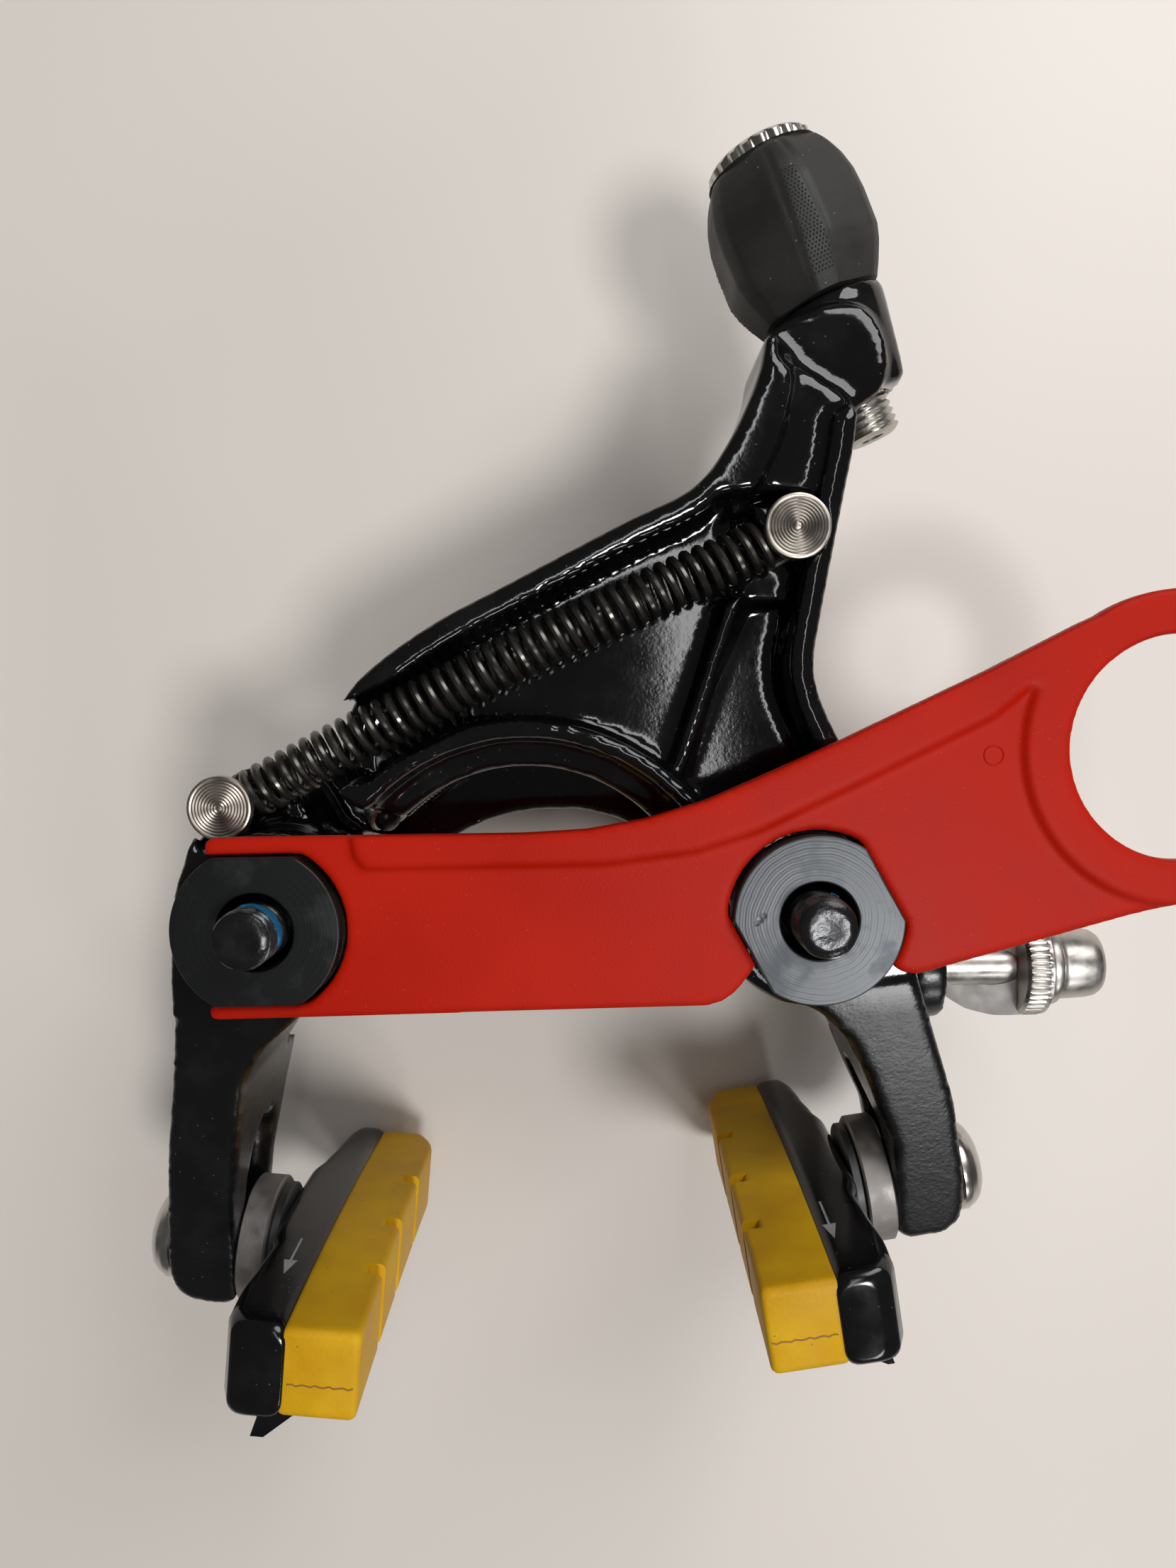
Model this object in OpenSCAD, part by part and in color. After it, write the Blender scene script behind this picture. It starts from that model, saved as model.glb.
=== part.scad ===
// Direct mount rim brake for a rear wheel, seen from its mounting side.
// The two mounting bolts stand on the X axis, half the pitch to either side of the origin.
// The mounting faces lie in the plane Z = 0, and the brake's front is down along -Z.
// The barrel adjuster is up along +Y and the brake shoes hang down along -Y.

/* [Mount] */
// Distance between the two mounting bolts
mount_pitch = 56; // [54:0.5:59]
// Thread diameter of the mounting bolts
bolt_d = 6; // [5:0.5:6.5]
// Diameter of the mounting bolts' shank inside the bushings
shank_d = 5.4; // [5:0.1:5.6]
// How far the mounting bolts stand out of the mounting faces
bolt_reach = 4.5; // [3:0.5:9]
// Height of the mounting bolts' heads
bolt_head_h = 5.5; // [4:0.5:6.5]
// Diameter of the mounting bolts' heads
bolt_head_d = 10; // [9.5:0.25:11]
// Diameter of the flange on each pivot bushing
flange_d = 17; // [16.4:0.2:17.6]
// Width across the two flats of the flange
flange_flats = 14.9; // [14:0.1:15.4]
// Thickness of the flange
flange_t = 3.4; // [3:0.1:4.5]
// Bore of the pivot bushings
bushing_bore = 7.8; // [7.4:0.1:8.4]
// Diameter of the bushing's sleeve that the arm turns on
sleeve_d = 10.5; // [10:0.1:11]
// Direction of the flats on the right flange
right_flat_angle = -62; // [-72:1:-54]
// Thickness of the washer under each bolt head
front_washer_t = 1.4; // [1:0.1:2]
// Diameter of the washer under each bolt head
front_washer_d = 14; // [13:0.5:15]

/* [Arms] */
// Depth of each arm at its pivot
arm_t = 20.6; // [19:0.2:22]
// Diameter of each arm's pivot boss
pivot_boss_d = 19.2; // [18.6:0.2:20.4]
// Wall of the plain bearing pressed into each arm
liner_t = 0.7; // [0.5:0.1:1]
// Width of the rail along the edge of the tray
rail_w = 2.5; // [1.8:0.1:3]
// Depth of the rail's crest below the arm's back face
rail_drop = 2; // [1.5:0.1:2.8]
// Depth of the tray floor below the arm's back face
tray_drop = 8.8; // [8.2:0.2:10]
// Depth of the smooth pocket beside the tray
pocket_drop = 11.5; // [10:0.5:13]
// Depth of the neck's floor below the arm's back face
neck_drop = 6; // [5.2:0.2:7]
// Gap between the tyre arch and the widest circle that fits between the pivot bosses
arch_gap = 0.1; // [0:0.1:1]
// Depth of the left arm's bridge
bridge_t = 15; // [12:0.5:17]
// Clearance of the bridge's underside from the pivots
bridge_gap = 5; // [4:0.5:6]
// Depth of the legs where the shoes bolt on
leg_t = 14.4; // [13:0.2:16]

/* [Spring and pins] */
// Outer diameter of the return spring
spring_d = 5.6; // [4.8:0.1:6]
// Diameter of the spring wire
wire_d = 0.9; // [0.7:0.05:1]
// Number of coils in the return spring
coils = 41; // [30:1:46]
// Diameter of the heads of the spring pins
pin_head_d = 6.7; // [5.5:0.1:7.2]
// Diameter of the necks of the spring pins
pin_neck_d = 3; // [2.4:0.1:3.4]

/* [Shoes] */
// Length of the brake pads
pad_len = 54; // [50:0.5:56]
// Height of the brake pads
pad_h = 9; // [8:0.25:10]
// Thickness of the brake pads outside their holders
pad_t = 7.2; // [5:0.2:8]
// Thickness of the shoe holders
holder_t = 5.4; // [4.6:0.2:6.5]
// Diameter of the dished washers
dish_d = 14.4; // [12:0.2:15]
// Diameter of the pad bolts
pad_bolt_d = 5; // [4:0.25:5.2]
// Drop of the left pad bolt below the left pivot
left_drop = 41.4; // [40:0.2:41.6]
// Drop of the right pad bolt below the right pivot
right_drop = 35.8; // [34.4:0.2:36]
// Swivel of the left shoe about its bolt
left_swivel = 0.5; // [-3:0.5:5]
// Swivel of the right shoe about its bolt
right_swivel = 2.5; // [-3:0.5:6]

/* [Cable adjuster] */
// Lean of the barrel adjuster from the upright
adjuster_lean = 22; // [18:1:26]
// Length of the rubber knob
knob_len = 17.5; // [15:0.5:20]
// Greatest diameter of the rubber knob
knob_d = 18; // [16.6:0.2:18.6]
// Thread diameter of the barrel
barrel_d = 6.4; // [5.6:0.1:7]
// How far the barrel stands out below its boss
barrel_reach = 4; // [2:0.5:8]

/* [Cable anchor] */
// Diameter of the knurled cable washer
anchor_ring_d = 12.4; // [11:0.2:13]
// Diameter of the head of the anchor bolt
anchor_head_d = 8.4; // [7.4:0.2:9.4]
// Thread diameter of the anchor bolt
anchor_bolt_d = 5; // [4:0.25:6]

/* [Mounting clip] */
// Thickness of the clip's web
clip_t = 1.9; // [1.4:0.1:2.2]
// Thickness of the clip's raised rim
clip_rim_t = 2.5; // [2.1:0.1:2.7]
// Width of the raised rim round the finger ring
clip_rim_w = 3; // [2:0.2:3.6]
// Hole of the finger ring
clip_ring_d = 22.4; // [20:0.2:24]

/* [Hidden] */
$fn = 64;
e = 0.01;

black = [0.06, 0.06, 0.07];
steel = [0.72, 0.72, 0.72];
anodised = [0.16, 0.17, 0.18];
red = [0.78, 0.1, 0.06];
yellow = [0.9, 0.66, 0.08];

// Clearances: play of the turning fits, play along the pivots, and air between the arms
turn_play = 0.05;
thrust_play = 0.1;
air = 0.7;
grip_play = 0.1;

// Heights along Z
back_z = -(flange_t + thrust_play);
front_z = back_z - arm_t;
sleeve_end_z = front_z - thrust_play;
head_z = sleeve_end_z - front_washer_t;
bridge_z = front_z - air;
bridge_front_z = bridge_z - bridge_t;
floor_z = back_z - tray_drop;
rail_z = back_z - rail_drop;
pin_top_z = back_z - 0.7;
pin_head_t = 1.2;
spring_z = back_z - 4.7;
pad_z = -21;
leg_back_z = pad_z + leg_t / 2;
leg_front_z = pad_z - leg_t / 2;
plate_front_z = front_z + 2;

// Pivots, and points given from them
left_pivot = [-mount_pitch / 2, 0];
right_pivot = [mount_pitch / 2, 0];
left_pin = left_pivot + [-4.5, 12.1];
right_pin = right_pivot + [-0.9, 39.4];
arch_centre = [-mount_pitch / 2 - 1.5, -2.9];
arch_r = mount_pitch / 2 - pivot_boss_d / 2 + arch_gap;
bridge_r = mount_pitch / 2 - bridge_gap;
bridge_centre = [mount_pitch / 2 + 0.4, 9.7 - bridge_r];
arch_rib_r = arch_r + 3;
arch_rail_r = arch_r + 4.9;
left_roll = -6;
right_roll = 8;
left_leg_x = -3.9;
right_leg_x = 6.3;
leg_w = 7.9;
slot_len = 17.4;
slot_recess = 7.2;
slot_w = pad_bolt_d + 0.4;
dish_t = 4.4;
boss_rise = 1.2;
left_rise = 0.6;
right_rise = -0.3;

// Adjuster: a point on its axis at the top of its boss, from the right pivot
adjuster_foot = [4, 64.6];
adjuster_z = -16;
boss_len = 11;
boss_top_r = 6.7;
boss_low_r = 4.6;

// Anchor: its axis runs along X, from the face of the left arm's end
anchor_at = [19.2, -10.6];
anchor_z = front_z - 2;
anchor_face_x = right_pivot[0] + anchor_at[0];
end_w = 4;
end_r = 6.2;

// Vector of length one
function unit(v) = v / norm(v);
// Widens an outline with the pitch: points beyond near keep their place at the far pivot
function with_pitch(p, near) = [p[0] + sign(near) * max(0, min(1, (abs(p[0]) - abs(near)) / 40))
    * (p[0] * near > 0 ? 1 : 0) * (mount_pitch - nominal_pitch), p[1]];
nominal_pitch = 56;
// Closed smooth curve through its corners, n steps to a span
function blend(p, q, r, s, t) = 0.5 * (2 * q + (r - p) * t + (2 * p - 5 * q + 4 * r - s) * t * t
    + (3 * q - p - 3 * r + s) * t * t * t);
function smooth(pts, n = 5) = let (m = len(pts))
    [for (i = [0 : m - 1], k = [0 : n - 1])
        blend(pts[(i + m - 1) % m], pts[i], pts[(i + 1) % m], pts[(i + 2) % m], k / n)];

// A prism of a flat shape between two heights
module slab(low, high) {
    translate([0, 0, low]) linear_extrude(height = high - low) children();
}

// A hexagon socket that opens upward at z = 0
module hex_socket(across, deep) {
    translate([0, 0, -deep]) cylinder(d = across / cos(30), h = deep + e, $fn = 6);
}

module at_left() { translate([left_pivot[0], 0, 0]) children(); }
module at_right() { translate([right_pivot[0], 0, 0]) children(); }

// Frame of a shoe: +X towards the wheel from the leg's inner face, on the pad bolt's axis
module left_shoe() {
    at_left() rotate([0, 0, left_roll]) translate([left_leg_x, -left_drop, pad_z]) children();
}
module right_shoe() {
    at_right() rotate([0, 0, right_roll]) translate([right_leg_x, -right_drop, pad_z])
        mirror([1, 0, 0]) children();
}

// Frame of the adjuster: +Z along its axis to the top of the knob, from the top of its boss
module at_adjuster() {
    translate([right_pivot[0] + adjuster_foot[0], adjuster_foot[1], adjuster_z])
        rotate([0, 0, adjuster_lean]) rotate([-90, 0, 0]) children();
}

// Frame of the cable anchor: +Z along its axis, away from the arm
module at_anchor() {
    translate([anchor_face_x, anchor_at[1], anchor_z]) rotate([0, 90, 0]) children();
}

// Pivot hardware

module flange_shape(angle) {
    rotate(angle) intersection() {
        circle(d = flange_d);
        square([2 * flange_d, flange_flats], center = true);
    }
}

module bushing(angle) {
    difference() {
        union() {
            slab(-flange_t, 0) flange_shape(angle);
            slab(sleeve_end_z, -flange_t) circle(d = sleeve_d);
        }
        slab(sleeve_end_z - 1, 1) circle(d = bushing_bore);
    }
}

module mount_bolt() {
    tip = 0.8;
    difference() {
        union() {
            slab(head_z, 0) circle(d = shank_d);
            slab(0, bolt_reach - tip) circle(d = bolt_d);
            translate([0, 0, bolt_reach - tip]) cylinder(d1 = bolt_d, d2 = bolt_d - 2 * tip, h = tip);
            slab(head_z - bolt_head_h + tip, head_z) circle(d = bolt_head_d);
            translate([0, 0, head_z - bolt_head_h])
                cylinder(d1 = bolt_head_d - 2 * tip, d2 = bolt_head_d, h = tip);
        }
        translate([0, 0, head_z - bolt_head_h]) mirror([0, 0, 1]) hex_socket(5, 3.2);
        translate([0, 0, bolt_reach - 1]) cylinder(d1 = 1, d2 = 3, h = 1 + e);
    }
}

module front_washer() {
    slab(head_z, sleeve_end_z) difference() {
        circle(d = front_washer_d);
        circle(d = bolt_d + 0.4);
    }
}

module bearing() {
    slab(front_z, back_z) difference() {
        circle(d = sleeve_d + 2 * turn_play + 2 * liner_t);
        circle(d = sleeve_d + 2 * turn_play);
    }
}

module bearing_bore() {
    slab(front_z - bridge_t - 2, 1) circle(d = sleeve_d + 2 * turn_play + 2 * liner_t);
}

// Right arm: tray, neck, adjuster boss, pivot boss and leg, from the right pivot

module right_outline() {
    polygon(smooth([for (p = [[-49.4, 19], [-46.6, 24.6], [-39, 30.2], [-30.1, 34.7], [-18.4, 40.5],
        [-11.2, 43.9], [-7.2, 49], [-4.4, 55.2], [-3.2, 59.6], [1.4, 62.2], [6.2, 62.6], [8.4, 60.6],
        [9.4, 57], [8.6, 53.8], [6, 51.8], [5.1, 47], [3.2, 38], [1.6, 30], [0.9, 25.2], [2, 20.8],
        [5.6, 13.4], [9, 5.6], [9.2, -2], [3, -8.6], [-8, -6], [-18, 2], [-34, 8], [-43, 10.4],
        [-48.6, 13]]) with_pitch(p, -12)]));
}

// The half plane above the ridge where the tray meets the boss
module above_ridge() {
    polygon([[-6.3, 62.4], [10.2, 46.8], [20, 56], [4, 74]]);
}

module right_arch() {
    translate(arch_centre) children();
}

// What the tray takes out, seen from the back
module right_tray_shape() {
    difference() {
        offset(delta = -rail_w) right_outline();
        right_arch() circle(r = arch_rail_r);
        circle(d = pivot_boss_d + 3);
        translate([-6, -12]) square([20, 22]);
        above_ridge();
        // the neck's left wall is wider than the other rails
        polygon([[-6, 60], [-0.7, 57.8], [-1.1, 53.4], [-2.3, 48.4], [-4.9, 43.3], [-12, 43], [-12, 56]]);
    }
}

module right_leg_shape() {
    rotate(right_roll) polygon([[9.4, 2], [9.8, -8], [11.2, -14.4], [13.3, -24],
        [right_leg_x + leg_w + 0.1, -right_drop + 1], [right_leg_x + leg_w, -right_drop - 2.6],
        [right_leg_x + leg_w - 0.6, -right_drop - 4.6], [right_leg_x + leg_w - 1.9, -right_drop - 5.9],
        [right_leg_x + leg_w - 3.6, -right_drop - 6.2], [right_leg_x + 1.4, -right_drop - 6.2],
        [right_leg_x + 0.3, -right_drop - 5.6], [right_leg_x, -right_drop - 4.6],
        [right_leg_x, -28.2], [right_leg_x - 1.2, -24], [3.7, -18.6], [2, -14], [-0.4, -10.6],
        [-4, -8]]);
}

// Takes the slope of the leg's back and front faces out of a leg, with its slot for the pad bolt
module leg_cuts(side, leg_x, drop, roll) {
    slope = atan((back_z - leg_back_z) / (drop - 9));
    rotate([0, 0, roll]) {
        translate([-30, -8, back_z]) rotate([slope, 0, 0]) translate([0, -60, 0]) cube([60, 60, 30]);
        translate([-30, -24, leg_front_z + 0.2]) rotate([-14, 0, 0]) translate([0, 0, -60])
            cube([60, 40, 60]);
        translate([leg_x, -drop + (slot_len - slot_w) / 2, pad_z]) rotate([0, 90, 0]) {
            slab(-leg_w - 2, leg_w + 2) obround(slot_len, slot_w);
            // recess round the slot, towards the wheel
            slab(-0.7, 0.7) obround(slot_len + slot_recess - slot_w, slot_recess);
        }
    }
}
module obround(long, wide) {
    for (m = [-1, 1]) translate([0, m * (long - wide) / 2]) circle(d = wide);
    square([wide, long - wide], center = true);
}

module right_arm() {
    channel = unit(right_pin - left_pin);
    color(black) at_right() difference() {
        union() {
            difference() {
                union() {
                    slab(plate_front_z, rail_z) right_outline();
                    slab(front_z, back_z) circle(d = pivot_boss_d);
                }
                slab(floor_z, 1) right_tray_shape();
                // smooth pocket on the right of the ridge
                slab(back_z - pocket_drop, 1) intersection() {
                    right_tray_shape();
                    polygon([[-5.4, 32.6], [-13.4, 14], [-13.4, 6], [4, 6], [4, 32.6]]);
                }
                // step on the arch
                slab(back_z - 5.5, 1) right_arch() circle(r = arch_rib_r);
                // the neck's end drops to the boss
                slab(back_z - 4.6, 1) above_ridge();
                slab(back_z - 3.6, 1) intersection() {
                    translate([-1.2, -1]) above_ridge();
                    offset(delta = -rail_w * 0.6) right_outline();
                }
            }
            // neck floor with the step that meets the boss
            slab(floor_z - e, back_z - neck_drop) intersection() {
                offset(delta = -rail_w / 2) right_outline();
                polygon([[-7.4, 40.6], [0, 36], [5, 34], [9, 62], [-4, 62], [-5, 50]]);
            }
            // ridge between the tray and the smooth pocket
            slab(back_z - pocket_drop - e, back_z - 5) intersection() {
                right_outline();
                polygon([[-7.4, 33.4], [-5.8, 33.4], [-13.2, 12], [-14.9, 12]]);
            }
            slab(front_z, back_z) intersection() {
                right_leg_shape();
                translate([-20, -60]) square([60, 66]);
            }
            slab(leg_front_z, front_z + e) intersection() {
                right_leg_shape();
                translate([-20, -60]) square([60, 42]);
            }
            // boss of the barrel adjuster
            translate([adjuster_foot[0], adjuster_foot[1], adjuster_z]) rotate([0, 0, adjuster_lean])
                rotate([90, 0, 0]) cylinder(r1 = boss_top_r, r2 = boss_low_r, h = boss_len);
            // lug of the centring screw
            right_lug();
        }
        right_arch() slab(front_z - 1, 1) circle(r = arch_r);
        // channel that the spring lies in
        translate([right_pin[0] - right_pivot[0], right_pin[1], spring_z])
            rotate([0, 0, atan2(channel[1], channel[0])])
                translate([-mount_pitch - 14, -spring_d / 2 - 0.7, -spring_d / 2 - 0.6])
                    cube([mount_pitch + 11.4, spring_d + bow + 1.2, 20]);
        // room for the spring's hook round the pin
        translate([right_pin[0] - right_pivot[0], right_pin[1], 0]) slab(spring_z - wire_d, 1)
            circle(r = hook_r + wire_d);
        translate([right_pin[0] - right_pivot[0], right_pin[1], 0])
            slab(back_z - 15, 1) circle(d = pin_neck_d);
        bearing_bore();
        leg_cuts(1, right_leg_x, right_drop, right_roll);
        translate([adjuster_foot[0], adjuster_foot[1], adjuster_z]) rotate([0, 0, adjuster_lean])
            rotate([90, 0, 0]) translate([0, 0, -1]) cylinder(d = barrel_d, h = boss_len + 8);
        link_hole();
        screw_hole();
    }
}

// Centring screw: threaded in the right arm's tip, its end against the left arm's shoulder
screw_at = [11.6 - mount_pitch, 10.8];
screw_turn = 216;
screw_z = -14.5;
screw_d = 3;

module at_screw() {
    translate([screw_at[0], screw_at[1], screw_z]) rotate([0, 0, screw_turn]) rotate([0, 90, 0]) children();
}
module right_lug() {
    at_screw() translate([0, 0, -4.5]) cylinder(r = 3, h = 4.5);
}
module screw_hole() {
    at_screw() translate([0, 0, -9]) cylinder(d = screw_d, h = 12);
}

// Pin that links the arms: fixed in the right arm, it runs in a curved slot of the bridge
link_at = [-mount_pitch / 2, 22];
link_d = 4.6;
link_reach = 5;
close_angle = 12;
module link_hole() {
    translate([link_at[0], link_at[1], 0]) slab(front_z - 1, floor_z - 2) circle(d = 3);
}

// Left arm: pivot boss, leg, pin lug, shoulder and bridge with the cable anchor's end

module left_leg_shape() {
    rotate(left_roll) polygon([[-8.6, 3], [-8.9, -8], [-9.7, -17], [-10.9, -27],
        [left_leg_x - leg_w, -left_drop + 1], [left_leg_x - leg_w + 0.1, -left_drop - 2.6],
        [left_leg_x - leg_w + 0.7, -left_drop - 4.6], [left_leg_x - leg_w + 2, -left_drop - 5.8],
        [left_leg_x - 3.6, -left_drop - 6.1], [left_leg_x - 1.3, -left_drop - 6.1],
        [left_leg_x - 0.3, -left_drop - 5.5], [left_leg_x, -left_drop - 4.5], [left_leg_x, -33],
        [-2.9, -24], [-2, -17.4], [0, -13.6], [3, -10.4], [7, -6]]);
}

module bridge_outline() {
    polygon(smooth([for (p = [[-8.6, 9.6], [-7.8, 15.6], [-2, 20.6], [10, 25.4], [26, 29.4], [42, 28.6],
        [54, 24], [63.2, 17.4], [69, 10], [72.6, 2], [74, -6], [74, -13], [71.5, -16], [68.6, -12], [67, -3],
        [64.4, 5.4], [58, 10.4], [49, 9], [40, 6], [28, 5], [16, 5], [9.4, 6.6], [0, 8.6]])
        with_pitch(p, 10)]));
}

module shoulder_outline() {
    polygon(smooth([[-8.2, 4], [-8, 10], [-6.4, 14.6], [-2.4, 16], [1.2, 13.4], [3.4, 9.6], [5.6, 5], [0, 2]]));
}

module left_arm() {
    color(black) at_left() difference() {
        union() {
            slab(front_z, back_z) circle(d = pivot_boss_d);
            slab(front_z, back_z) intersection() {
                left_leg_shape();
                translate([-30, -60]) square([60, 64]);
            }
            slab(leg_front_z, front_z + e) intersection() {
                left_leg_shape();
                translate([-30, -60]) square([60, 42]);
            }
            // shoulder that carries the pin lug and joins the bridge
            slab(front_z, back_z - 8.2) difference() {
                shoulder_outline();
            }
            slab(bridge_front_z, front_z + e) intersection() {
                shoulder_outline();
                difference() {
                    translate([-12, 6]) square([24, 20]);
                    circle(d = front_washer_d + 2);
                }
            }
            slab(bridge_front_z, bridge_z) difference() {
                bridge_outline();
                translate(bridge_centre) circle(r = bridge_r);
                circle(d = front_washer_d + 2);
                translate([mount_pitch, 0]) circle(d = front_washer_d + 2);
            }
            translate([mount_pitch + anchor_at[0] - end_w, anchor_at[1], anchor_z]) rotate([0, 90, 0])
                cylinder(r = end_r, h = end_w);
        }
        bearing_bore();
        leg_cuts(-1, left_leg_x, left_drop, left_roll);
        translate([left_pin[0] - left_pivot[0], left_pin[1], 0]) slab(back_z - 15, 1) circle(d = pin_neck_d);
        link_slot();
        // the bridge's back drops to the right of the crown
        slab(bridge_z - 3, front_z + 1) intersection() {
            translate([mount_pitch / 2 + 2.6, 0]) square([40, 40]);
            translate(bridge_centre) circle(r = bridge_r + 4.4);
        }
        translate([mount_pitch + anchor_at[0] + 1, anchor_at[1], anchor_z]) rotate([0, -90, 0])
            cylinder(d = anchor_bolt_d, h = end_w + 5);
    }
}

// The slot follows the link pin as the two arms close together
module link_slot() {
    r = norm([link_at[0], link_at[1]]);
    w = link_d + 0.6;
    translate([0, 0, bridge_z - link_reach - 0.6]) linear_extrude(height = link_reach + 2)
        for (k = [0 : 8]) {
            p = link_path(2 * close_angle * k / 8);
            q = link_path(2 * close_angle * (k + 0.5) / 8);
            translate(p) circle(d = w);
            if (k < 8) translate(q) circle(d = w);
        }
}
function turned(v, a) = [v[0] * cos(a) - v[1] * sin(a), v[0] * sin(a) + v[1] * cos(a)];
function link_path(a) = turned([mount_pitch, 0], -a / 2) + turned(link_at, -a);

module link_pin() {
    color(steel) at_right() translate([link_at[0], link_at[1], 0]) {
        slab(bridge_z - link_reach, front_z + 2) circle(d = link_d);
        slab(front_z + 2 - e, floor_z - 2) circle(d = 3);
    }
}

// Spring pins and the return spring

module spring_pin(low) {
    slab(low, pin_top_z - pin_head_t) circle(d = pin_neck_d);
    slab(pin_top_z - pin_head_t, pin_top_z) circle(d = pin_head_d);
}

// Path of the wire in the frame of the two pins: hook, coils with a slight bow, hook
spring_span = norm(right_pin - left_pin);
hook_r = pin_neck_d / 2 + wire_d / 2 + 0.1;
coil_r = (spring_d - wire_d) / 2;
coil_low = 3.9;
coil_high = spring_span - 4.2;
bow = 1;
turn_steps = 10;
wire_sides = 6;
turns = coils + 0.5;
function bowed(p) = [p[0], p[1] + bow * sin(180 * p[0] / spring_span), p[2]];
wire_path = concat(
    [for (a = [-60 : -20 : -260]) [hook_r * cos(a), hook_r * sin(a), 0]],
    [[1.6, hook_r + 0.1, 0]],
    [for (i = [0 : turns * turn_steps]) let (a = 360 * i / turn_steps, t = i / (turns * turn_steps))
        bowed([coil_low + (coil_high - coil_low) * t, coil_r * cos(a), coil_r * sin(a)])],
    [[spring_span - 2.2, -hook_r - 0.1, 0]],
    [for (a = [-80 : 20 : 120]) [spring_span + hook_r * cos(a), hook_r * sin(a), 0]]);
function tangent(p, i) = unit(p[min(i + 1, len(p) - 1)] - p[max(i - 1, 0)]);
function square_to(f, t) = unit(f - t * (f * t));
function frames(p) = [for (i = 0, f = [0, 0, 1]; i < len(p); i = i + 1,
    f = i < len(p) ? square_to(f, tangent(p, i)) : f) f];

module tube(path, d, sides) {
    n = len(path);
    side = frames(path);
    rings = [for (i = [0 : n - 1]) let (t = tangent(path, i), u = side[i], v = cross(t, u))
        for (k = [0 : sides - 1]) path[i] + d / 2 * (cos(360 * k / sides) * u + sin(360 * k / sides) * v)];
    walls = [for (i = [0 : n - 2], k = [0 : sides - 1]) let (j = (k + 1) % sides)
        [i * sides + k, (i + 1) * sides + k, (i + 1) * sides + j, i * sides + j]];
    polyhedron(rings, concat(walls, [[for (k = [0 : sides - 1]) k]],
        [[for (k = [sides - 1 : -1 : 0]) (n - 1) * sides + k]]));
}

module return_spring() {
    run = right_pin - left_pin;
    color([0.1, 0.1, 0.1]) translate([left_pin[0], left_pin[1], spring_z])
        rotate([0, 0, atan2(run[1], run[0])]) tube(wire_path, wire_d, wire_sides);
}

module centring_screw() {
    color(steel) at_right() at_screw() difference() {
        translate([0, 0, -8]) cylinder(d = screw_d, h = 10.4);
        translate([0, 0, -8]) mirror([0, 0, 1]) hex_socket(1.5, 1.5);
    }
}

// Brake shoes, each in its shoe frame

module dish_ring(low, high) {
    rotate([0, 90, 0]) slab(low, high) difference() {
        circle(d = dish_d);
        circle(d = pad_bolt_d + 0.6);
    }
}

module inner_dish() {
    color(steel) dish_ring(0, dish_t / 2);
}

module outer_dish() {
    color(steel) dish_ring(dish_t / 2, dish_t);
}

// Side view of a shoe, in the plane of the wheel: bowed along the rim, its ends rounded
rim_r = 300;
shoe_back = 26;
shoe_fore = shoe_back - pad_len;
shoe_mid = (shoe_back + shoe_fore) / 2;
holder_x = dish_t + boss_rise;
pad_x = holder_x + holder_t;
function bowed_y(w, y) = y - (w * w) / (2 * rim_r);

module shoe_slab(low_x, high_x, trim, grow, rise) {
    top = pad_h / 2 + rise + grow;
    low = -pad_h / 2 + rise - grow;
    half = pad_len / 2 - trim;
    translate([high_x, 0, 0]) rotate([0, -90, 0]) linear_extrude(height = high_x - low_x) polygon(concat(
        [for (k = [-6 : 6]) let (w = k / 6 * (half - 1)) [w + shoe_mid, bowed_y(w, top)]],
        [[half + shoe_mid, bowed_y(half, top) - 1.1], [half + shoe_mid, bowed_y(half, low) + 1.3]],
        [for (k = [6 : -1 : -6]) let (w = k / 6 * (half - 1.2)) [w + shoe_mid, bowed_y(w, low)]],
        [[-half + shoe_mid, bowed_y(half, low) + 1.3], [-half + shoe_mid, bowed_y(half, top) - 1.1]]));
}

// Plan of the holder: thin at both ends and swollen where it meets the dished washers
module holder_plan(rise) {
    seat = dish_d / 2 + 0.4;
    translate([0, rise - pad_h, 0]) rotate([90, 0, 0]) mirror([0, 0, 1]) linear_extrude(height = 2 * pad_h)
        polygon([[pad_x + 1, shoe_fore - 1], [pad_x - 4.6, shoe_fore - 1], [pad_x - 5.3, shoe_fore + 2.4],
            [pad_x - 5.4, -19], [dish_t + 1, -seat - 2.6], [dish_t, -seat], [dish_t, seat],
            [dish_t + 0.9, seat + 2.4], [holder_x, seat + 5.6], [holder_x - 0.2, shoe_back - 3.4],
            [holder_x + 0.6, shoe_back - 1], [holder_x + 2, shoe_back + 1], [pad_x + 1, shoe_back + 1]]);
}

screw_w = shoe_back - 14;
screw_len = 4;
module holder(rise) {
    low = -pad_h / 2 + rise;
    color(black) difference() {
        intersection() {
            union() {
                shoe_slab(dish_t - 1, pad_x, 0, 0.4, rise);
                rotate([0, 90, 0]) slab(dish_t, holder_x + 1) circle(d = dish_d - 1);
            }
            holder_plan(rise);
        }
        // seat of the pad
        shoe_slab(pad_x - 1.6, pad_x + 1, 1.4, -1, rise);
        rotate([0, 90, 0]) slab(0, pad_x + 1) circle(d = pad_bolt_d);
        translate([holder_x + 2, low - 2, screw_w]) rotate([-90, 0, 0])
            cylinder(d = 2.4, h = screw_len + 1.1);
    }
}

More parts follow.
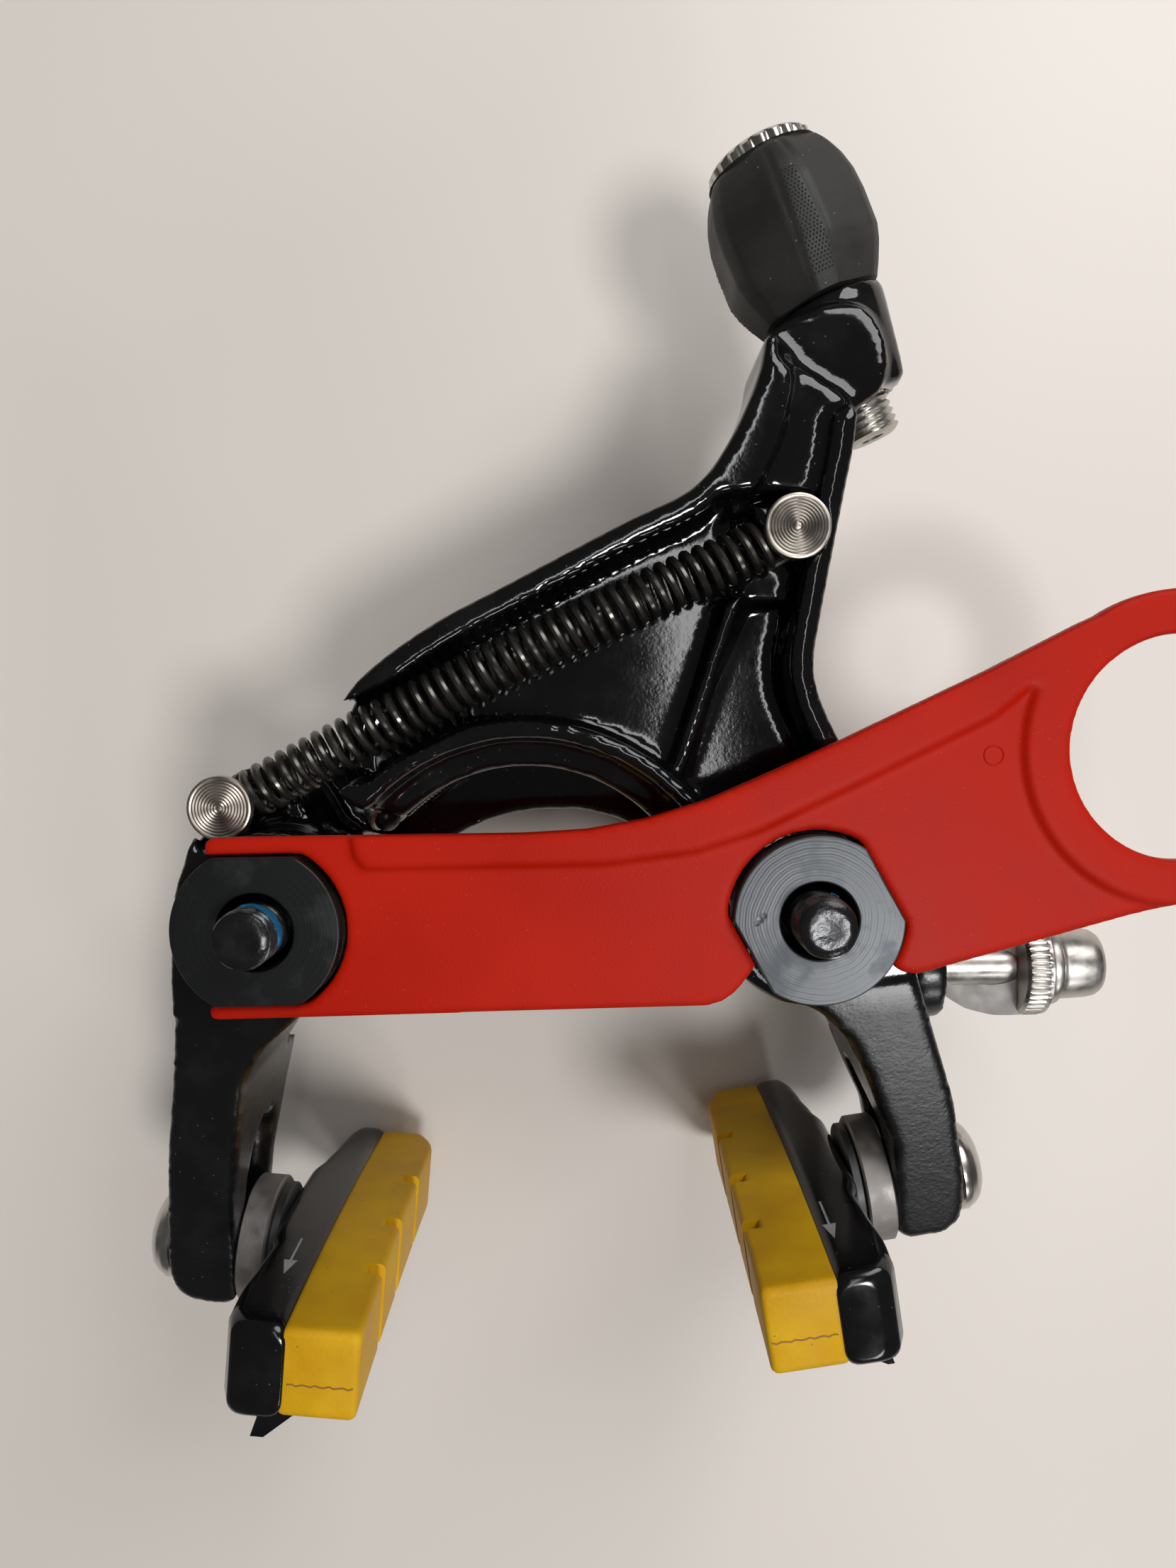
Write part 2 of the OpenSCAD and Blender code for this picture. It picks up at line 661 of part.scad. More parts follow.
module pad(rise) {
    color(yellow) difference() {
        union() {
            shoe_slab(pad_x, pad_x + pad_t, 0.4, 0, rise);
            shoe_slab(pad_x - 1.5, pad_x + e, 1.5, -1.1, rise);
        }
        // water grooves across the friction face
        for (w = [-9, 3, 13]) translate([pad_x + pad_t - 2, -20, w]) cube([3, 40, 1.8]);
        // slanted front end
        translate([pad_x + pad_t, -20, shoe_fore]) rotate([0, 38, 0]) translate([-2, 0, -12])
            cube([12, 40, 12]);
    }
}

module pad_bolt() {
    outer = -leg_w - 0.3;
    color(steel) rotate([0, 90, 0]) difference() {
        union() {
            slab(outer, holder_x + 3) circle(d = pad_bolt_d);
            translate([0, 0, outer]) mirror([0, 0, 1]) rotate_extrude()
                polygon([[0, 0], [5.2, 0], [5.2, 0.9], [4.9, 1.5], [4.2, 2.3], [3.2, 2.9], [0, 3.1]]);
        }
        translate([0, 0, outer - 3.1]) mirror([0, 0, 1]) hex_socket(4, 2.4);
    }
}

module pad_screw(rise) {
    color(steel) translate([holder_x + 2, -pad_h / 2 + rise - 0.9, screw_w]) rotate([-90, 0, 0])
        cylinder(d = 2.4, h = screw_len);
}

// Cable anchor on the end of the left arm

body_len = 10;
ring_len = 3.6;
collar_len = 1.4;
anchor_head_len = 5;
module anchor_body() {
    r = anchor_ring_d / 2;
    color(steel) at_anchor() difference() {
        rotate_extrude() polygon([[anchor_bolt_d / 2, 0], [3.4, 0], [5, 2.2], [5.8, 4.2], [r, 7], [r, body_len],
            [anchor_bolt_d / 2, body_len]]);
        translate([-r - 1, 0, body_len]) rotate([0, -31, 0]) translate([-r, -r - 1, -2 * r])
            cube([r + 4, 2 * r + 2, 3 * r]);
    }
}

module anchor_ring() {
    color(steel) at_anchor() slab(body_len, body_len + ring_len) difference() {
        circle(d = anchor_ring_d);
        circle(d = anchor_bolt_d);
    }
}

module anchor_collar() {
    low = body_len + ring_len;
    color(steel) at_anchor() difference() {
        slab(low, low + collar_len) circle(d = anchor_head_d + 1.6);
        slab(low - 1, low + collar_len + 1) circle(d = anchor_bolt_d);
    }
}

module anchor_bolt() {
    low = body_len + ring_len + collar_len;
    round_off = 1.2;
    color(steel) at_anchor() difference() {
        union() {
            slab(-end_w - 0.6, low) circle(d = anchor_bolt_d);
            slab(low, low + anchor_head_len - round_off) circle(d = anchor_head_d);
            translate([0, 0, low + anchor_head_len - round_off])
                cylinder(d1 = anchor_head_d, d2 = anchor_head_d - 2 * round_off, h = round_off);
        }
        translate([0, 0, low + anchor_head_len]) hex_socket(5, 3.4);
    }
}

// Barrel adjuster: it screws into the boss, and its knob turns with it

knob_gap = 0.3;
seat_d = knob_d - 6.2;
seat_rise = 0.8;
module adjuster_barrel() {
    color(steel) at_adjuster() difference() {
        union() {
            slab(-boss_len - barrel_reach, knob_gap) circle(d = barrel_d - 0.1);
            slab(knob_gap, knob_len - 6) circle(d = barrel_d + 1.6);
        }
        slab(-boss_len - barrel_reach - 1, knob_len) circle(d = 2.4);
        slab(knob_len - 15, knob_len) circle(d = 5);
    }
}

module adjuster_seat() {
    color(steel) at_adjuster() difference() {
        slab(knob_len - 6, knob_len + seat_rise) circle(d = seat_d);
        slab(knob_len - 7, knob_len + seat_rise + 1) circle(d = 6.1);
    }
}

module adjuster_knob() {
    r = knob_d / 2;
    rib_w = 2.4;
    color(black) at_adjuster() difference() {
        intersection() {
            rotate_extrude() polygon([[0, knob_gap], [r - 1.8, knob_gap], [r - 0.8, 2.4], [r - 0.3, 4.4],
                [r, 8.5], [r - 0.2, 12.5], [r - 0.6, knob_len - 2.4], [r - 1.2, knob_len - 1],
                [r - 2.4, knob_len], [0, knob_len]]);
            union() {
                slab(-1, knob_len + 1) rotate(12) circle(r = r + 0.5, $fn = 6);
                for (a = [0 : 120 : 240]) rotate([0, 0, a + 42]) translate([0, -rib_w / 2, -1])
                    cube([r + 1, rib_w, knob_len - 3]);
            }
        }
        slab(-1, knob_len - 6) circle(d = barrel_d + 1.6);
        slab(knob_len - 6 - e, knob_len + 1) circle(d = seat_d);
    }
}

// Clip that holds the two flanges square until the brake is fitted

ring_at = [36.1, 16.4];
ring_rim = clip_rim_w + 1.4;
clip_high_z = -0.5;
clip_low_z = clip_high_z - clip_rim_t;
web_high_z = clip_low_z + clip_t;
jaw = flange_flats / 2 + grip_play;

module clip_outline() {
    rx = right_pivot[0];
    lx = left_pivot[0];
    difference() {
        union() {
            polygon([[lx - 4.6, 9.3], [lx - 1, 9.4], [rx - 29, 9.2], [rx - 22.6, 9.5], [rx - 17, 10.4],
                [rx - 11, 12.1], [rx - 4, 15], [rx + 2.5, 17.8], [rx + 17, 24.4], [rx + 26, 28.8],
                [rx + 33, 31.7], [rx + 36, 0.8], [rx + 31, -0.3], [rx + 20, -3.2], [rx + 11.6, -5.4],
                [rx + 10, -5.8], [rx + 8.8, -5.7], [rx + 7.9, -5.2], [rx + 7.2, -4.5], [rx + 5, -1],
                [rx - 4, -1], [rx - 6, -4.4], [rx - 7, -5.8], [rx - 8.2, -7.2], [rx - 9.4, -8.1],
                [rx - 11, -8.6], [rx - 32, -8.8], [lx - 4.8, -9.1], [lx - 5.3, -8.6], [lx - 5, -2],
                [lx - 5, 2], [lx - 5.1, 8.8]]);
            translate([rx, 0] + ring_at) circle(r = clip_ring_d / 2 + ring_rim);
        }
        translate([rx, 0] + ring_at) circle(d = clip_ring_d);
        // pocket of the left flange, open to the left
        translate(left_pivot) {
            intersection() {
                circle(d = flange_d + 2 * grip_play + 0.6);
                square([2 * flange_d, 2 * jaw], center = true);
            }
            translate([-flange_d, -jaw]) square([flange_d, 2 * jaw]);
        }
        // pocket of the right flange, with its mouth between the two lobes
        translate(right_pivot) rotate(right_flat_angle) intersection() {
            circle(d = flange_d + 2 * grip_play + 0.6);
            square([2 * flange_d, 2 * jaw], center = true);
        }
        translate(right_pivot) polygon([[-4, -1], [5, -1], [6.9, -4.9], [6, -12], [-5, -12], [-5.9, -5]]);
    }
}

module mounting_clip() {
    rx = right_pivot[0];
    color(red) {
        slab(clip_low_z, web_high_z) clip_outline();
        slab(web_high_z - e, clip_high_z) intersection() {
            clip_outline();
            union() {
                polygon([[left_pivot[0] + 11, 6.1], [left_pivot[0] + 10, 7.4], [left_pivot[0] + 9.6, 12],
                    [rx - 18, 14], [rx + 2, 24], [rx + 32, 36], [rx + 24, 24], [rx + 20.6, 22.4],
                    [rx + 17.3, 19.8], [rx + 3.3, 13.2], [rx - 6, 9], [rx - 12, 7.2], [rx - 21.3, 6.1]]);
                translate([rx, 0] + ring_at) circle(r = clip_ring_d / 2 + ring_rim);
            }
        }
    }
}

mounting_clip();
color(anodised) at_left() mount_bolt();  // left_mount_bolt
color(anodised) at_right() mount_bolt();  // right_mount_bolt
color(anodised) at_left() bushing(0);  // left_bushing
color(anodised) at_right() bushing(right_flat_angle);  // right_bushing
color(steel) at_left() front_washer();  // left_front_washer
color(steel) at_right() front_washer();  // right_front_washer
right_arm();
left_arm();
color("ivory") at_left() bearing();  // left_bearing
color("ivory") at_right() bearing();  // right_bearing
color(steel) translate([left_pin[0], left_pin[1], 0]) spring_pin(back_z - 15);  // left_spring_pin
color(steel) translate([right_pin[0], right_pin[1], 0]) spring_pin(back_z - 15);  // right_spring_pin
return_spring();
centring_screw();
link_pin();
left_shoe() pad_bolt();  // left_pad_bolt
right_shoe() pad_bolt();  // right_pad_bolt
left_shoe() inner_dish();  // left_inner_dish
right_shoe() inner_dish();  // right_inner_dish
left_shoe() outer_dish();  // left_outer_dish
right_shoe() outer_dish();  // right_outer_dish
left_shoe() rotate([left_swivel, 0, 0]) holder(left_rise);  // left_holder
right_shoe() rotate([right_swivel, 0, 0]) holder(right_rise);  // right_holder
left_shoe() rotate([left_swivel, 0, 0]) pad(left_rise);  // left_pad
right_shoe() rotate([right_swivel, 0, 0]) pad(right_rise);  // right_pad
left_shoe() rotate([left_swivel, 0, 0]) pad_screw(left_rise);  // left_pad_screw
right_shoe() rotate([right_swivel, 0, 0]) pad_screw(right_rise);  // right_pad_screw
anchor_bolt();
anchor_body();
anchor_ring();
anchor_collar();
adjuster_barrel();
adjuster_knob();
adjuster_seat();
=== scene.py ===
import math

import bmesh
import bpy
from mathutils import Matrix, Vector


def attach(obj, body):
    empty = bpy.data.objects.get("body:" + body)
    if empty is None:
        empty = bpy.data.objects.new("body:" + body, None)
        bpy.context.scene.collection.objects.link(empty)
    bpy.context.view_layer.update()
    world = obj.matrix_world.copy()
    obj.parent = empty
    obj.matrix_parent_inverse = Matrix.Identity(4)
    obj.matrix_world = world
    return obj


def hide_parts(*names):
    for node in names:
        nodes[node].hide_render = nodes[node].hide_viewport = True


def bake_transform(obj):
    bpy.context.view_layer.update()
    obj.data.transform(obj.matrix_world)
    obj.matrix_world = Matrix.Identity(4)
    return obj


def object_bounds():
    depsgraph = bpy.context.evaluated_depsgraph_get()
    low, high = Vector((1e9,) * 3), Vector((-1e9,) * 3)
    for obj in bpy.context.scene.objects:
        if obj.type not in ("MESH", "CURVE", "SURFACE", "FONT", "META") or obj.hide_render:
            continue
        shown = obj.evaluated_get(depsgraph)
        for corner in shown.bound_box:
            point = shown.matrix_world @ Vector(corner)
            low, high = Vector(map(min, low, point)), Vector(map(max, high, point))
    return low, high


mm = 0.001
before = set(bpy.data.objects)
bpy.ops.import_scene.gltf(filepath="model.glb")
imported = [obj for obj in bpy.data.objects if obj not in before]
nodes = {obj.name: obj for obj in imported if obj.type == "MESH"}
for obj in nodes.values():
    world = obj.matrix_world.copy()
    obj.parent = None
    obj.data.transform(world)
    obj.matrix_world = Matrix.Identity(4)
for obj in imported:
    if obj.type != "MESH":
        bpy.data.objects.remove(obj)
cadBox = [list(corner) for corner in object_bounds()]
print("loaded the brake:", len(nodes), "solids")

# Camera: a phone held close above the table, looking almost straight down

camera = {"place": (6.26, 20.01, 106.17), "turnDeg": (-3.217, 0.393, -1.232), "lens": 24.9}


def makeCamera():
    data = bpy.data.cameras.new("phoneCamera")
    data.lens = camera["lens"]
    data.sensor_width = 36
    data.clip_start = 0.005
    eye = bpy.data.objects.new("phoneCamera", data)
    eye.location = [v * mm for v in camera["place"]]
    eye.rotation_euler = [math.radians(v) for v in camera["turnDeg"]]
    bpy.context.scene.collection.objects.link(eye)
    bpy.context.scene.camera = eye


makeCamera()

# Surface effects, each a node group that gives masks and heights


def newGroup(name, inputs, outputs):
    group = bpy.data.node_groups.new(name, "ShaderNodeTree")
    for label, value in inputs.items():
        kind = "NodeSocketVector" if isinstance(value, tuple) else "NodeSocketFloat"
        group.interface.new_socket(label, in_out="INPUT", socket_type=kind).default_value = value
    for label in outputs:
        group.interface.new_socket(label, in_out="OUTPUT", socket_type="NodeSocketFloat")
    return group, group.nodes.new("NodeGroupInput"), group.nodes.new("NodeGroupOutput")


def add(tree, kind, **settings):
    node = tree.nodes.new("ShaderNode" + kind)
    for key, value in settings.items():
        setattr(node, key, value)
    return node


def calc(tree, operation, first, second=None, clamp=False):
    node = add(tree, "Math", operation=operation, use_clamp=clamp)
    for socket, value in zip(node.inputs, (first, second)):
        if value is None:
            continue
        if isinstance(value, (int, float)):
            socket.default_value = value
        else:
            tree.links.new(value, socket)
    return node.outputs[0]


def noise(tree, scale, detail=2.0, rough=0.5):
    node = add(tree, "TexNoise")
    node.inputs["Detail"].default_value = detail
    node.inputs["Roughness"].default_value = rough
    if isinstance(scale, (int, float)):
        node.inputs["Scale"].default_value = scale
    else:
        tree.links.new(scale, node.inputs["Scale"])
    tree.links.new(add(tree, "TexCoord").outputs["Object"], node.inputs["Vector"])
    return node.outputs["Fac"]


def makeSkin():
    # the leathery skin of paint over a forging, or the grain of a moulding
    group, give, take = newGroup("skin", {"Scale": 1400.0, "Lumps": 250.0}, ["Height", "Patches"])
    fine = noise(group, give.outputs["Scale"], 3, 0.55)
    lumps = noise(group, give.outputs["Lumps"], 2, 0.5)
    height = calc(group, "ADD", calc(group, "MULTIPLY", fine, 0.7), calc(group, "MULTIPLY", lumps, 0.6))
    group.links.new(height, take.inputs["Height"])
    group.links.new(lumps, take.inputs["Patches"])
    return group


def makeTurnedMarks():
    # rings left by a lathe round an axis that runs along Z
    group, give, take = newGroup("turnedMarks", {"Centre": (0.0, 0.0, 0.0), "Rings": 4200.0}, ["Height"])
    away = add(group, "VectorMath", operation="SUBTRACT")
    group.links.new(add(group, "TexCoord").outputs["Object"], away.inputs[0])
    group.links.new(give.outputs["Centre"], away.inputs[1])
    flat = add(group, "VectorMath", operation="MULTIPLY")
    group.links.new(away.outputs[0], flat.inputs[0])
    flat.inputs[1].default_value = (1, 1, 0)
    length = add(group, "VectorMath", operation="LENGTH")
    group.links.new(flat.outputs[0], length.inputs[0])
    blur = calc(group, "MULTIPLY", noise(group, 300, 2), 0.0006)
    radius = calc(group, "ADD", length.outputs["Value"], blur)
    wave = calc(group, "SINE", calc(group, "MULTIPLY", radius, give.outputs["Rings"]))
    slow = calc(group, "SINE", calc(group, "MULTIPLY", radius, 9500.0))
    group.links.new(calc(group, "ADD", wave, slow), take.inputs["Height"])
    return group


def makeDust():
    # pale specks and a thin film that lies in patches
    group, give, take = newGroup("dust", {"Scale": 900.0, "Amount": 0.12}, ["Specks", "Film"])
    cells = add(group, "TexVoronoi")
    group.links.new(give.outputs["Scale"], cells.inputs["Scale"])
    group.links.new(add(group, "TexCoord").outputs["Object"], cells.inputs["Vector"])
    near = calc(group, "LESS_THAN", cells.outputs["Distance"], give.outputs["Amount"])
    some = calc(group, "GREATER_THAN", noise(group, 420, 1), 0.56)
    group.links.new(calc(group, "MULTIPLY", near, some), take.inputs["Specks"])
    film = calc(group, "SUBTRACT", noise(group, 120, 4, 0.6), 0.42)
    group.links.new(calc(group, "MULTIPLY", film, 3.0, clamp=True), take.inputs["Film"])
    return group


skin, turnedMarks, dust = makeSkin(), makeTurnedMarks(), makeDust()


# Materials


def newMaterial(name, base, rough, metal=0.0, specular=0.5):
    material = bpy.data.materials.new(name)
    material.use_nodes = True
    shader = material.node_tree.nodes["Principled BSDF"]
    shader.inputs["Base Color"].default_value = (*base, 1)
    shader.inputs["Roughness"].default_value = rough
    shader.inputs["Metallic"].default_value = metal
    shader.inputs["Specular IOR Level"].default_value = specular
    return material


def effect(material, group, **values):
    node = add(material.node_tree, "Group", node_tree=group)
    for label, value in values.items():
        node.inputs[label].default_value = value
    return node.outputs


def bump(material, height, depth):
    tree = material.node_tree
    node = add(tree, "Bump")
    node.inputs["Distance"].default_value = depth
    tree.links.new(height, node.inputs["Height"])
    tree.links.new(node.outputs["Normal"], tree.nodes["Principled BSDF"].inputs["Normal"])


def colourBy(material, mask, *stops):
    # colour along a mask; a later call lays its own last colour over the earlier one
    tree = material.node_tree
    shader = tree.nodes["Principled BSDF"]
    before = shader.inputs["Base Color"].links
    if before:
        mix = add(tree, "Mix", data_type="RGBA")
        tree.links.new(mask, mix.inputs["Factor"])
        tree.links.new(before[0].from_socket, mix.inputs["A"])
        mix.inputs["B"].default_value = (*stops[-1], 1)
        tree.links.new(mix.outputs["Result"], shader.inputs["Base Color"])
        return
    ramp = add(tree, "ValToRGB")
    ramp.color_ramp.elements[0].position, ramp.color_ramp.elements[1].position = 0.3, 0.7
    for element, colour in zip(ramp.color_ramp.elements, (stops[0], stops[-1])):
        element.color = (*colour, 1)
    tree.links.new(mask, ramp.inputs["Fac"])
    tree.links.new(ramp.outputs["Color"], shader.inputs["Base Color"])


def roughBy(material, mask, low, high):
    tree = material.node_tree
    span = add(tree, "MapRange")
    span.inputs["From Min"].default_value, span.inputs["From Max"].default_value = 0.3, 0.7
    span.inputs["To Min"].default_value, span.inputs["To Max"].default_value = low, high
    tree.links.new(mask, span.inputs["Value"])
    tree.links.new(span.outputs["Result"], tree.nodes["Principled BSDF"].inputs["Roughness"])


def makeClipPlastic():
    material = newMaterial("clipPlastic", (0.44, 0.011, 0.002), 0.5, specular=0.1)
    grain = effect(material, skin, Scale=3600.0, Lumps=60.0)
    specks = effect(material, dust, Scale=1500.0, Amount=0.08)
    colourBy(material, grain["Patches"], (0.4, 0.008, 0.0012), (0.48, 0.013, 0.003))
    colourBy(material, specks["Specks"], (0.5, 0.06, 0.04))
    roughBy(material, grain["Patches"], 0.42, 0.52)
    bump(material, grain["Height"], 0.00003)
    return material


legSkin = {"start": -0.006, "full": -0.011, "bump": 0.24, "rough": 0.2}


def makeBlackPaint(name, depth, scale, low, high, legs=False):
    # glossy and deep; the legs of the arms, lower than a height in the object, keep a leathery skin
    material = newMaterial(name, (0.005, 0.005, 0.0055), 0.2)
    tree = material.node_tree
    peel = effect(material, skin, Scale=scale, Lumps=500.0)
    film = effect(material, dust, Scale=1300.0, Amount=0.1)
    colourBy(material, film["Film"], (0.0035, 0.0035, 0.004), (0.007, 0.007, 0.0075))
    colourBy(material, film["Specks"], (0.09, 0.09, 0.085))
    height = peel["Height"]
    if legs:
        split = add(tree, "SeparateXYZ")
        tree.links.new(add(tree, "TexCoord").outputs["Object"], split.inputs[0])
        onLeg = add(tree, "MapRange")
        onLeg.inputs["From Min"].default_value = legSkin["start"]
        onLeg.inputs["From Max"].default_value = legSkin["full"]
        tree.links.new(split.outputs["Y"], onLeg.inputs["Value"])
        mask = onLeg.outputs["Result"]
        share = calc(tree, "ADD", calc(tree, "MULTIPLY", mask, legSkin["bump"]), 0.07)
        height = calc(tree, "MULTIPLY", height, share)
        rough = calc(tree, "ADD", calc(tree, "MULTIPLY", mask, legSkin["rough"]),
                     calc(tree, "MULTIPLY", peel["Patches"], 0.06))
        rough = calc(tree, "ADD", rough, low - 0.08)
        tree.links.new(rough, tree.nodes["Principled BSDF"].inputs["Roughness"])
    else:
        roughBy(material, peel["Patches"], low, high)
    bump(material, height, depth)
    return material


def makeFlange(name, base, centre, depth):
    material = newMaterial(name, base, 0.4, metal=0.35)
    rings = effect(material, turnedMarks, Centre=centre, Rings=21000.0)
    film = effect(material, dust, Scale=1100.0, Amount=0.1)
    colourBy(material, film["Film"], [v * 0.75 for v in base], [v * 1.35 for v in base])
    roughBy(material, film["Film"], 0.34, 0.5)
    bump(material, rings["Height"], depth)
    return material


def makePlain(name, base, rough, depth=0.000012, scale=2600.0, metal=1.0):
    # one colour with a slight grain: the metals, and with no metal in it the paints and plastics
    material = newMaterial(name, base, rough, metal=metal)
    grain = effect(material, skin, Scale=scale, Lumps=500.0)
    colourBy(material, grain["Patches"], [v * 0.82 for v in base], [min(1, v * 1.12) for v in base])
    roughBy(material, grain["Patches"], rough * 0.75, rough * 1.25)
    bump(material, grain["Height"], depth)
    return material


def makeThread():
    # blackened thread, its crests rubbed bright
    material = newMaterial("boltThread", (0.26, 0.26, 0.27), 0.22, metal=0.95)
    grain = effect(material, skin, Scale=1500.0, Lumps=700.0)
    colourBy(material, grain["Patches"], (0.05, 0.05, 0.052), (0.2, 0.2, 0.2))
    roughBy(material, grain["Patches"], 0.18, 0.36)
    bump(material, grain["Height"], 0.00003)
    return material


def makePadCompound():
    material = newMaterial("padCompound", (0.62, 0.34, 0.008), 0.5, specular=0.18)
    grain = effect(material, skin, Scale=1800.0, Lumps=160.0)
    dirt = effect(material, dust, Scale=900.0, Amount=0.08)
    colourBy(material, grain["Patches"], (0.56, 0.29, 0.004), (0.7, 0.4, 0.008))
    colourBy(material, dirt["Specks"], (0.3, 0.16, 0.02))
    roughBy(material, grain["Patches"], 0.42, 0.6)
    bump(material, grain["Height"], 0.00007)
    return material


def makeRubber():
    material = newMaterial("knobRubber", (0.018, 0.017, 0.015), 0.55, specular=0.45)
    grain = effect(material, skin, Scale=4200.0, Lumps=200.0)
    dirt = effect(material, dust, Scale=1000.0, Amount=0.08)
    colourBy(material, grain["Patches"], (0.015, 0.0145, 0.013), (0.024, 0.023, 0.021))
    colourBy(material, dirt["Specks"], (0.2, 0.19, 0.18))
    roughBy(material, grain["Patches"], 0.48, 0.6)
    bump(material, grain["Height"], 0.00005)
    return material


clipPlastic = makeClipPlastic()
armPaint = makeBlackPaint("armPaint", 0.00011, 2300.0, 0.12, 0.2, legs=True)
holderPaint = makeBlackPaint("holderPaint", 0.00001, 900.0, 0.12, 0.2)
# one flange finish in two copies: the right flange's lighter base colour is painted light, for the lamp's glare
# on that side
leftFlange = makeFlange("leftFlange", (0.012, 0.014, 0.013), (-0.028, 0, 0), 0.0000012)
litRightFlange = makeFlange("litRightFlange", (0.05, 0.055, 0.062), (0.028, 0, 0), 0.0000018)
boltThread = makeThread()
boltEnd = makePlain("boltEnd", (0.018, 0.018, 0.02), 0.22, depth=0.00007, scale=1500.0, metal=0.5)
blackSteel = makePlain("blackSteel", (0.04, 0.04, 0.04), 0.35, metal=0.8)
plainSteel = makePlain("plainSteel", (0.55, 0.53, 0.49), 0.36)
turnedSteel = makePlain("turnedSteel", (0.42, 0.375, 0.33), 0.36)
polishedSteel = makePlain("polishedSteel", (0.58, 0.56, 0.52), 0.24, depth=0.000008)
dishAlloy = makePlain("dishAlloy", (0.26, 0.24, 0.225), 0.5, depth=0.00003, metal=0.6)
satinSteel = makePlain("satinSteel", (0.8, 0.78, 0.75), 0.45, depth=0.00001, metal=0.35)
darkDish = makePlain("darkDish", (0.07, 0.07, 0.07), 0.45, depth=0.00002, metal=0.6)
springSteel = makePlain("springSteel", (0.085, 0.08, 0.072), 0.26, metal=0.85)
padCompound = makePadCompound()
knobRubber = makeRubber()
threadlocker = makePlain("threadlocker", (0.015, 0.16, 0.34), 0.45, depth=0.00008, scale=3000.0, metal=0.0)
linerPlastic = makePlain("linerPlastic", (0.5, 0.48, 0.42), 0.5, metal=0.0)
printGrey = makePlain("printGrey", (0.32, 0.32, 0.31), 0.5, metal=0.0)
padShade = makePlain("padShade", (0.26, 0.13, 0.01), 0.6, metal=0.0)
print("materials made")


# Solids of the model that keep their own shape: softened edges and a finish


def paint(item, material):
    item.data.materials.clear()
    item.data.materials.append(material)


edges = {"left_bushing": 0.2, "right_bushing": 0.2, "left_front_washer": 0.2, "right_front_washer": 0.2,
         "left_bearing": 0.15, "right_bearing": 0.15, "link_pin": 0.3, "anchor_body": 0.25,
         "left_pad_screw": 0.2, "right_pad_screw": 0.2}
softening = {"weld": 0.004, "segments": 3, "angle": 32}
finishes = {
    clipPlastic: ["mounting_clip"],
    leftFlange: ["left_bushing"],
    litRightFlange: ["right_bushing"],
    turnedSteel: ["link_pin"],
    plainSteel: ["left_front_washer", "right_front_washer", "left_pad_screw", "right_pad_screw"],
    satinSteel: ["anchor_body"],
    linerPlastic: ["left_bearing", "right_bearing"],
}
# the size of the grid and the rounds of smoothing for a piece cast in one skin
moulding = {"clip": (0.34, 7), "arm": (0.44, 14)}


def smooth(mesh):
    for face in mesh.polygons:
        face.use_smooth = True


def soften(name, width):
    item = nodes[name]
    weld = item.modifiers.new("weld", "WELD")
    weld.merge_threshold = softening["weld"] * mm
    bevel = item.modifiers.new("edge", "BEVEL")
    bevel.width, bevel.segments, bevel.limit_method = width * mm, softening["segments"], "ANGLE"
    bevel.angle_limit = math.radians(softening["angle"])
    bevel.use_clamp_overlap = True
    item.modifiers.new("shade", "WEIGHTED_NORMAL")
    smooth(item.data)


def mould(item, voxel, smoothing):
    # one soft skin over a whole solid
    cast = item.modifiers.new("skin", "REMESH")
    cast.mode, cast.voxel_size, cast.use_smooth_shade = "VOXEL", voxel * mm, True
    relax = item.modifiers.new("relaxed", "SMOOTH")
    relax.factor, relax.iterations = 0.5, smoothing


for material, names in finishes.items():
    for name in names:
        paint(nodes[name], material)
for name, width in edges.items():
    soften(name, width)
mould(nodes["mounting_clip"], *moulding["clip"])
print("solids dressed")


# Turned pieces: rows of (height, radius) or (height, radius by angle) in millimetres


def hexRadius(across):
    return lambda turn: across / 2 / math.cos((turn % (math.pi / 3)) - math.pi / 6)


def ribbed(radius, count, depth):
    return lambda turn: radius - depth * (0.5 - 0.5 * math.cos(turn * count)) ** 2


def threadRows(low, high, pitch, radius, steps=8):
    rows = []
    count = int((high - low) / pitch * steps)
    for k in range(count + 1):
        z = low + (high - low) * k / count

        def wave(turn, z=z):
            phase = (z / pitch - turn / (2 * math.pi)) % 1.0
            return radius - 0.5 * pitch * (1 - abs(2 * phase - 1)) ** 1.3
        rows.append((z, wave))
    return rows


sharpEdge = 38


def newPiece(name, verts, faces, material, body, replaced=()):
    mesh = bpy.data.meshes.new(name)
    mesh.from_pydata([tuple(Vector(v) * mm) for v in verts], [], faces)
    mesh.update()
    piece = bpy.data.objects.new(name, mesh)
    bpy.context.scene.collection.objects.link(piece)
    piece.data.materials.append(material)
    smooth(mesh)
    form = bmesh.new()
    form.from_mesh(mesh)
    bmesh.ops.recalc_face_normals(form, faces=form.faces)
    form.to_mesh(mesh)
    form.free()
    mesh.set_sharp_from_angle(angle=math.radians(sharpEdge))
    if body:
        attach(piece, body)
    if replaced:
        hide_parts(*replaced)
    return piece


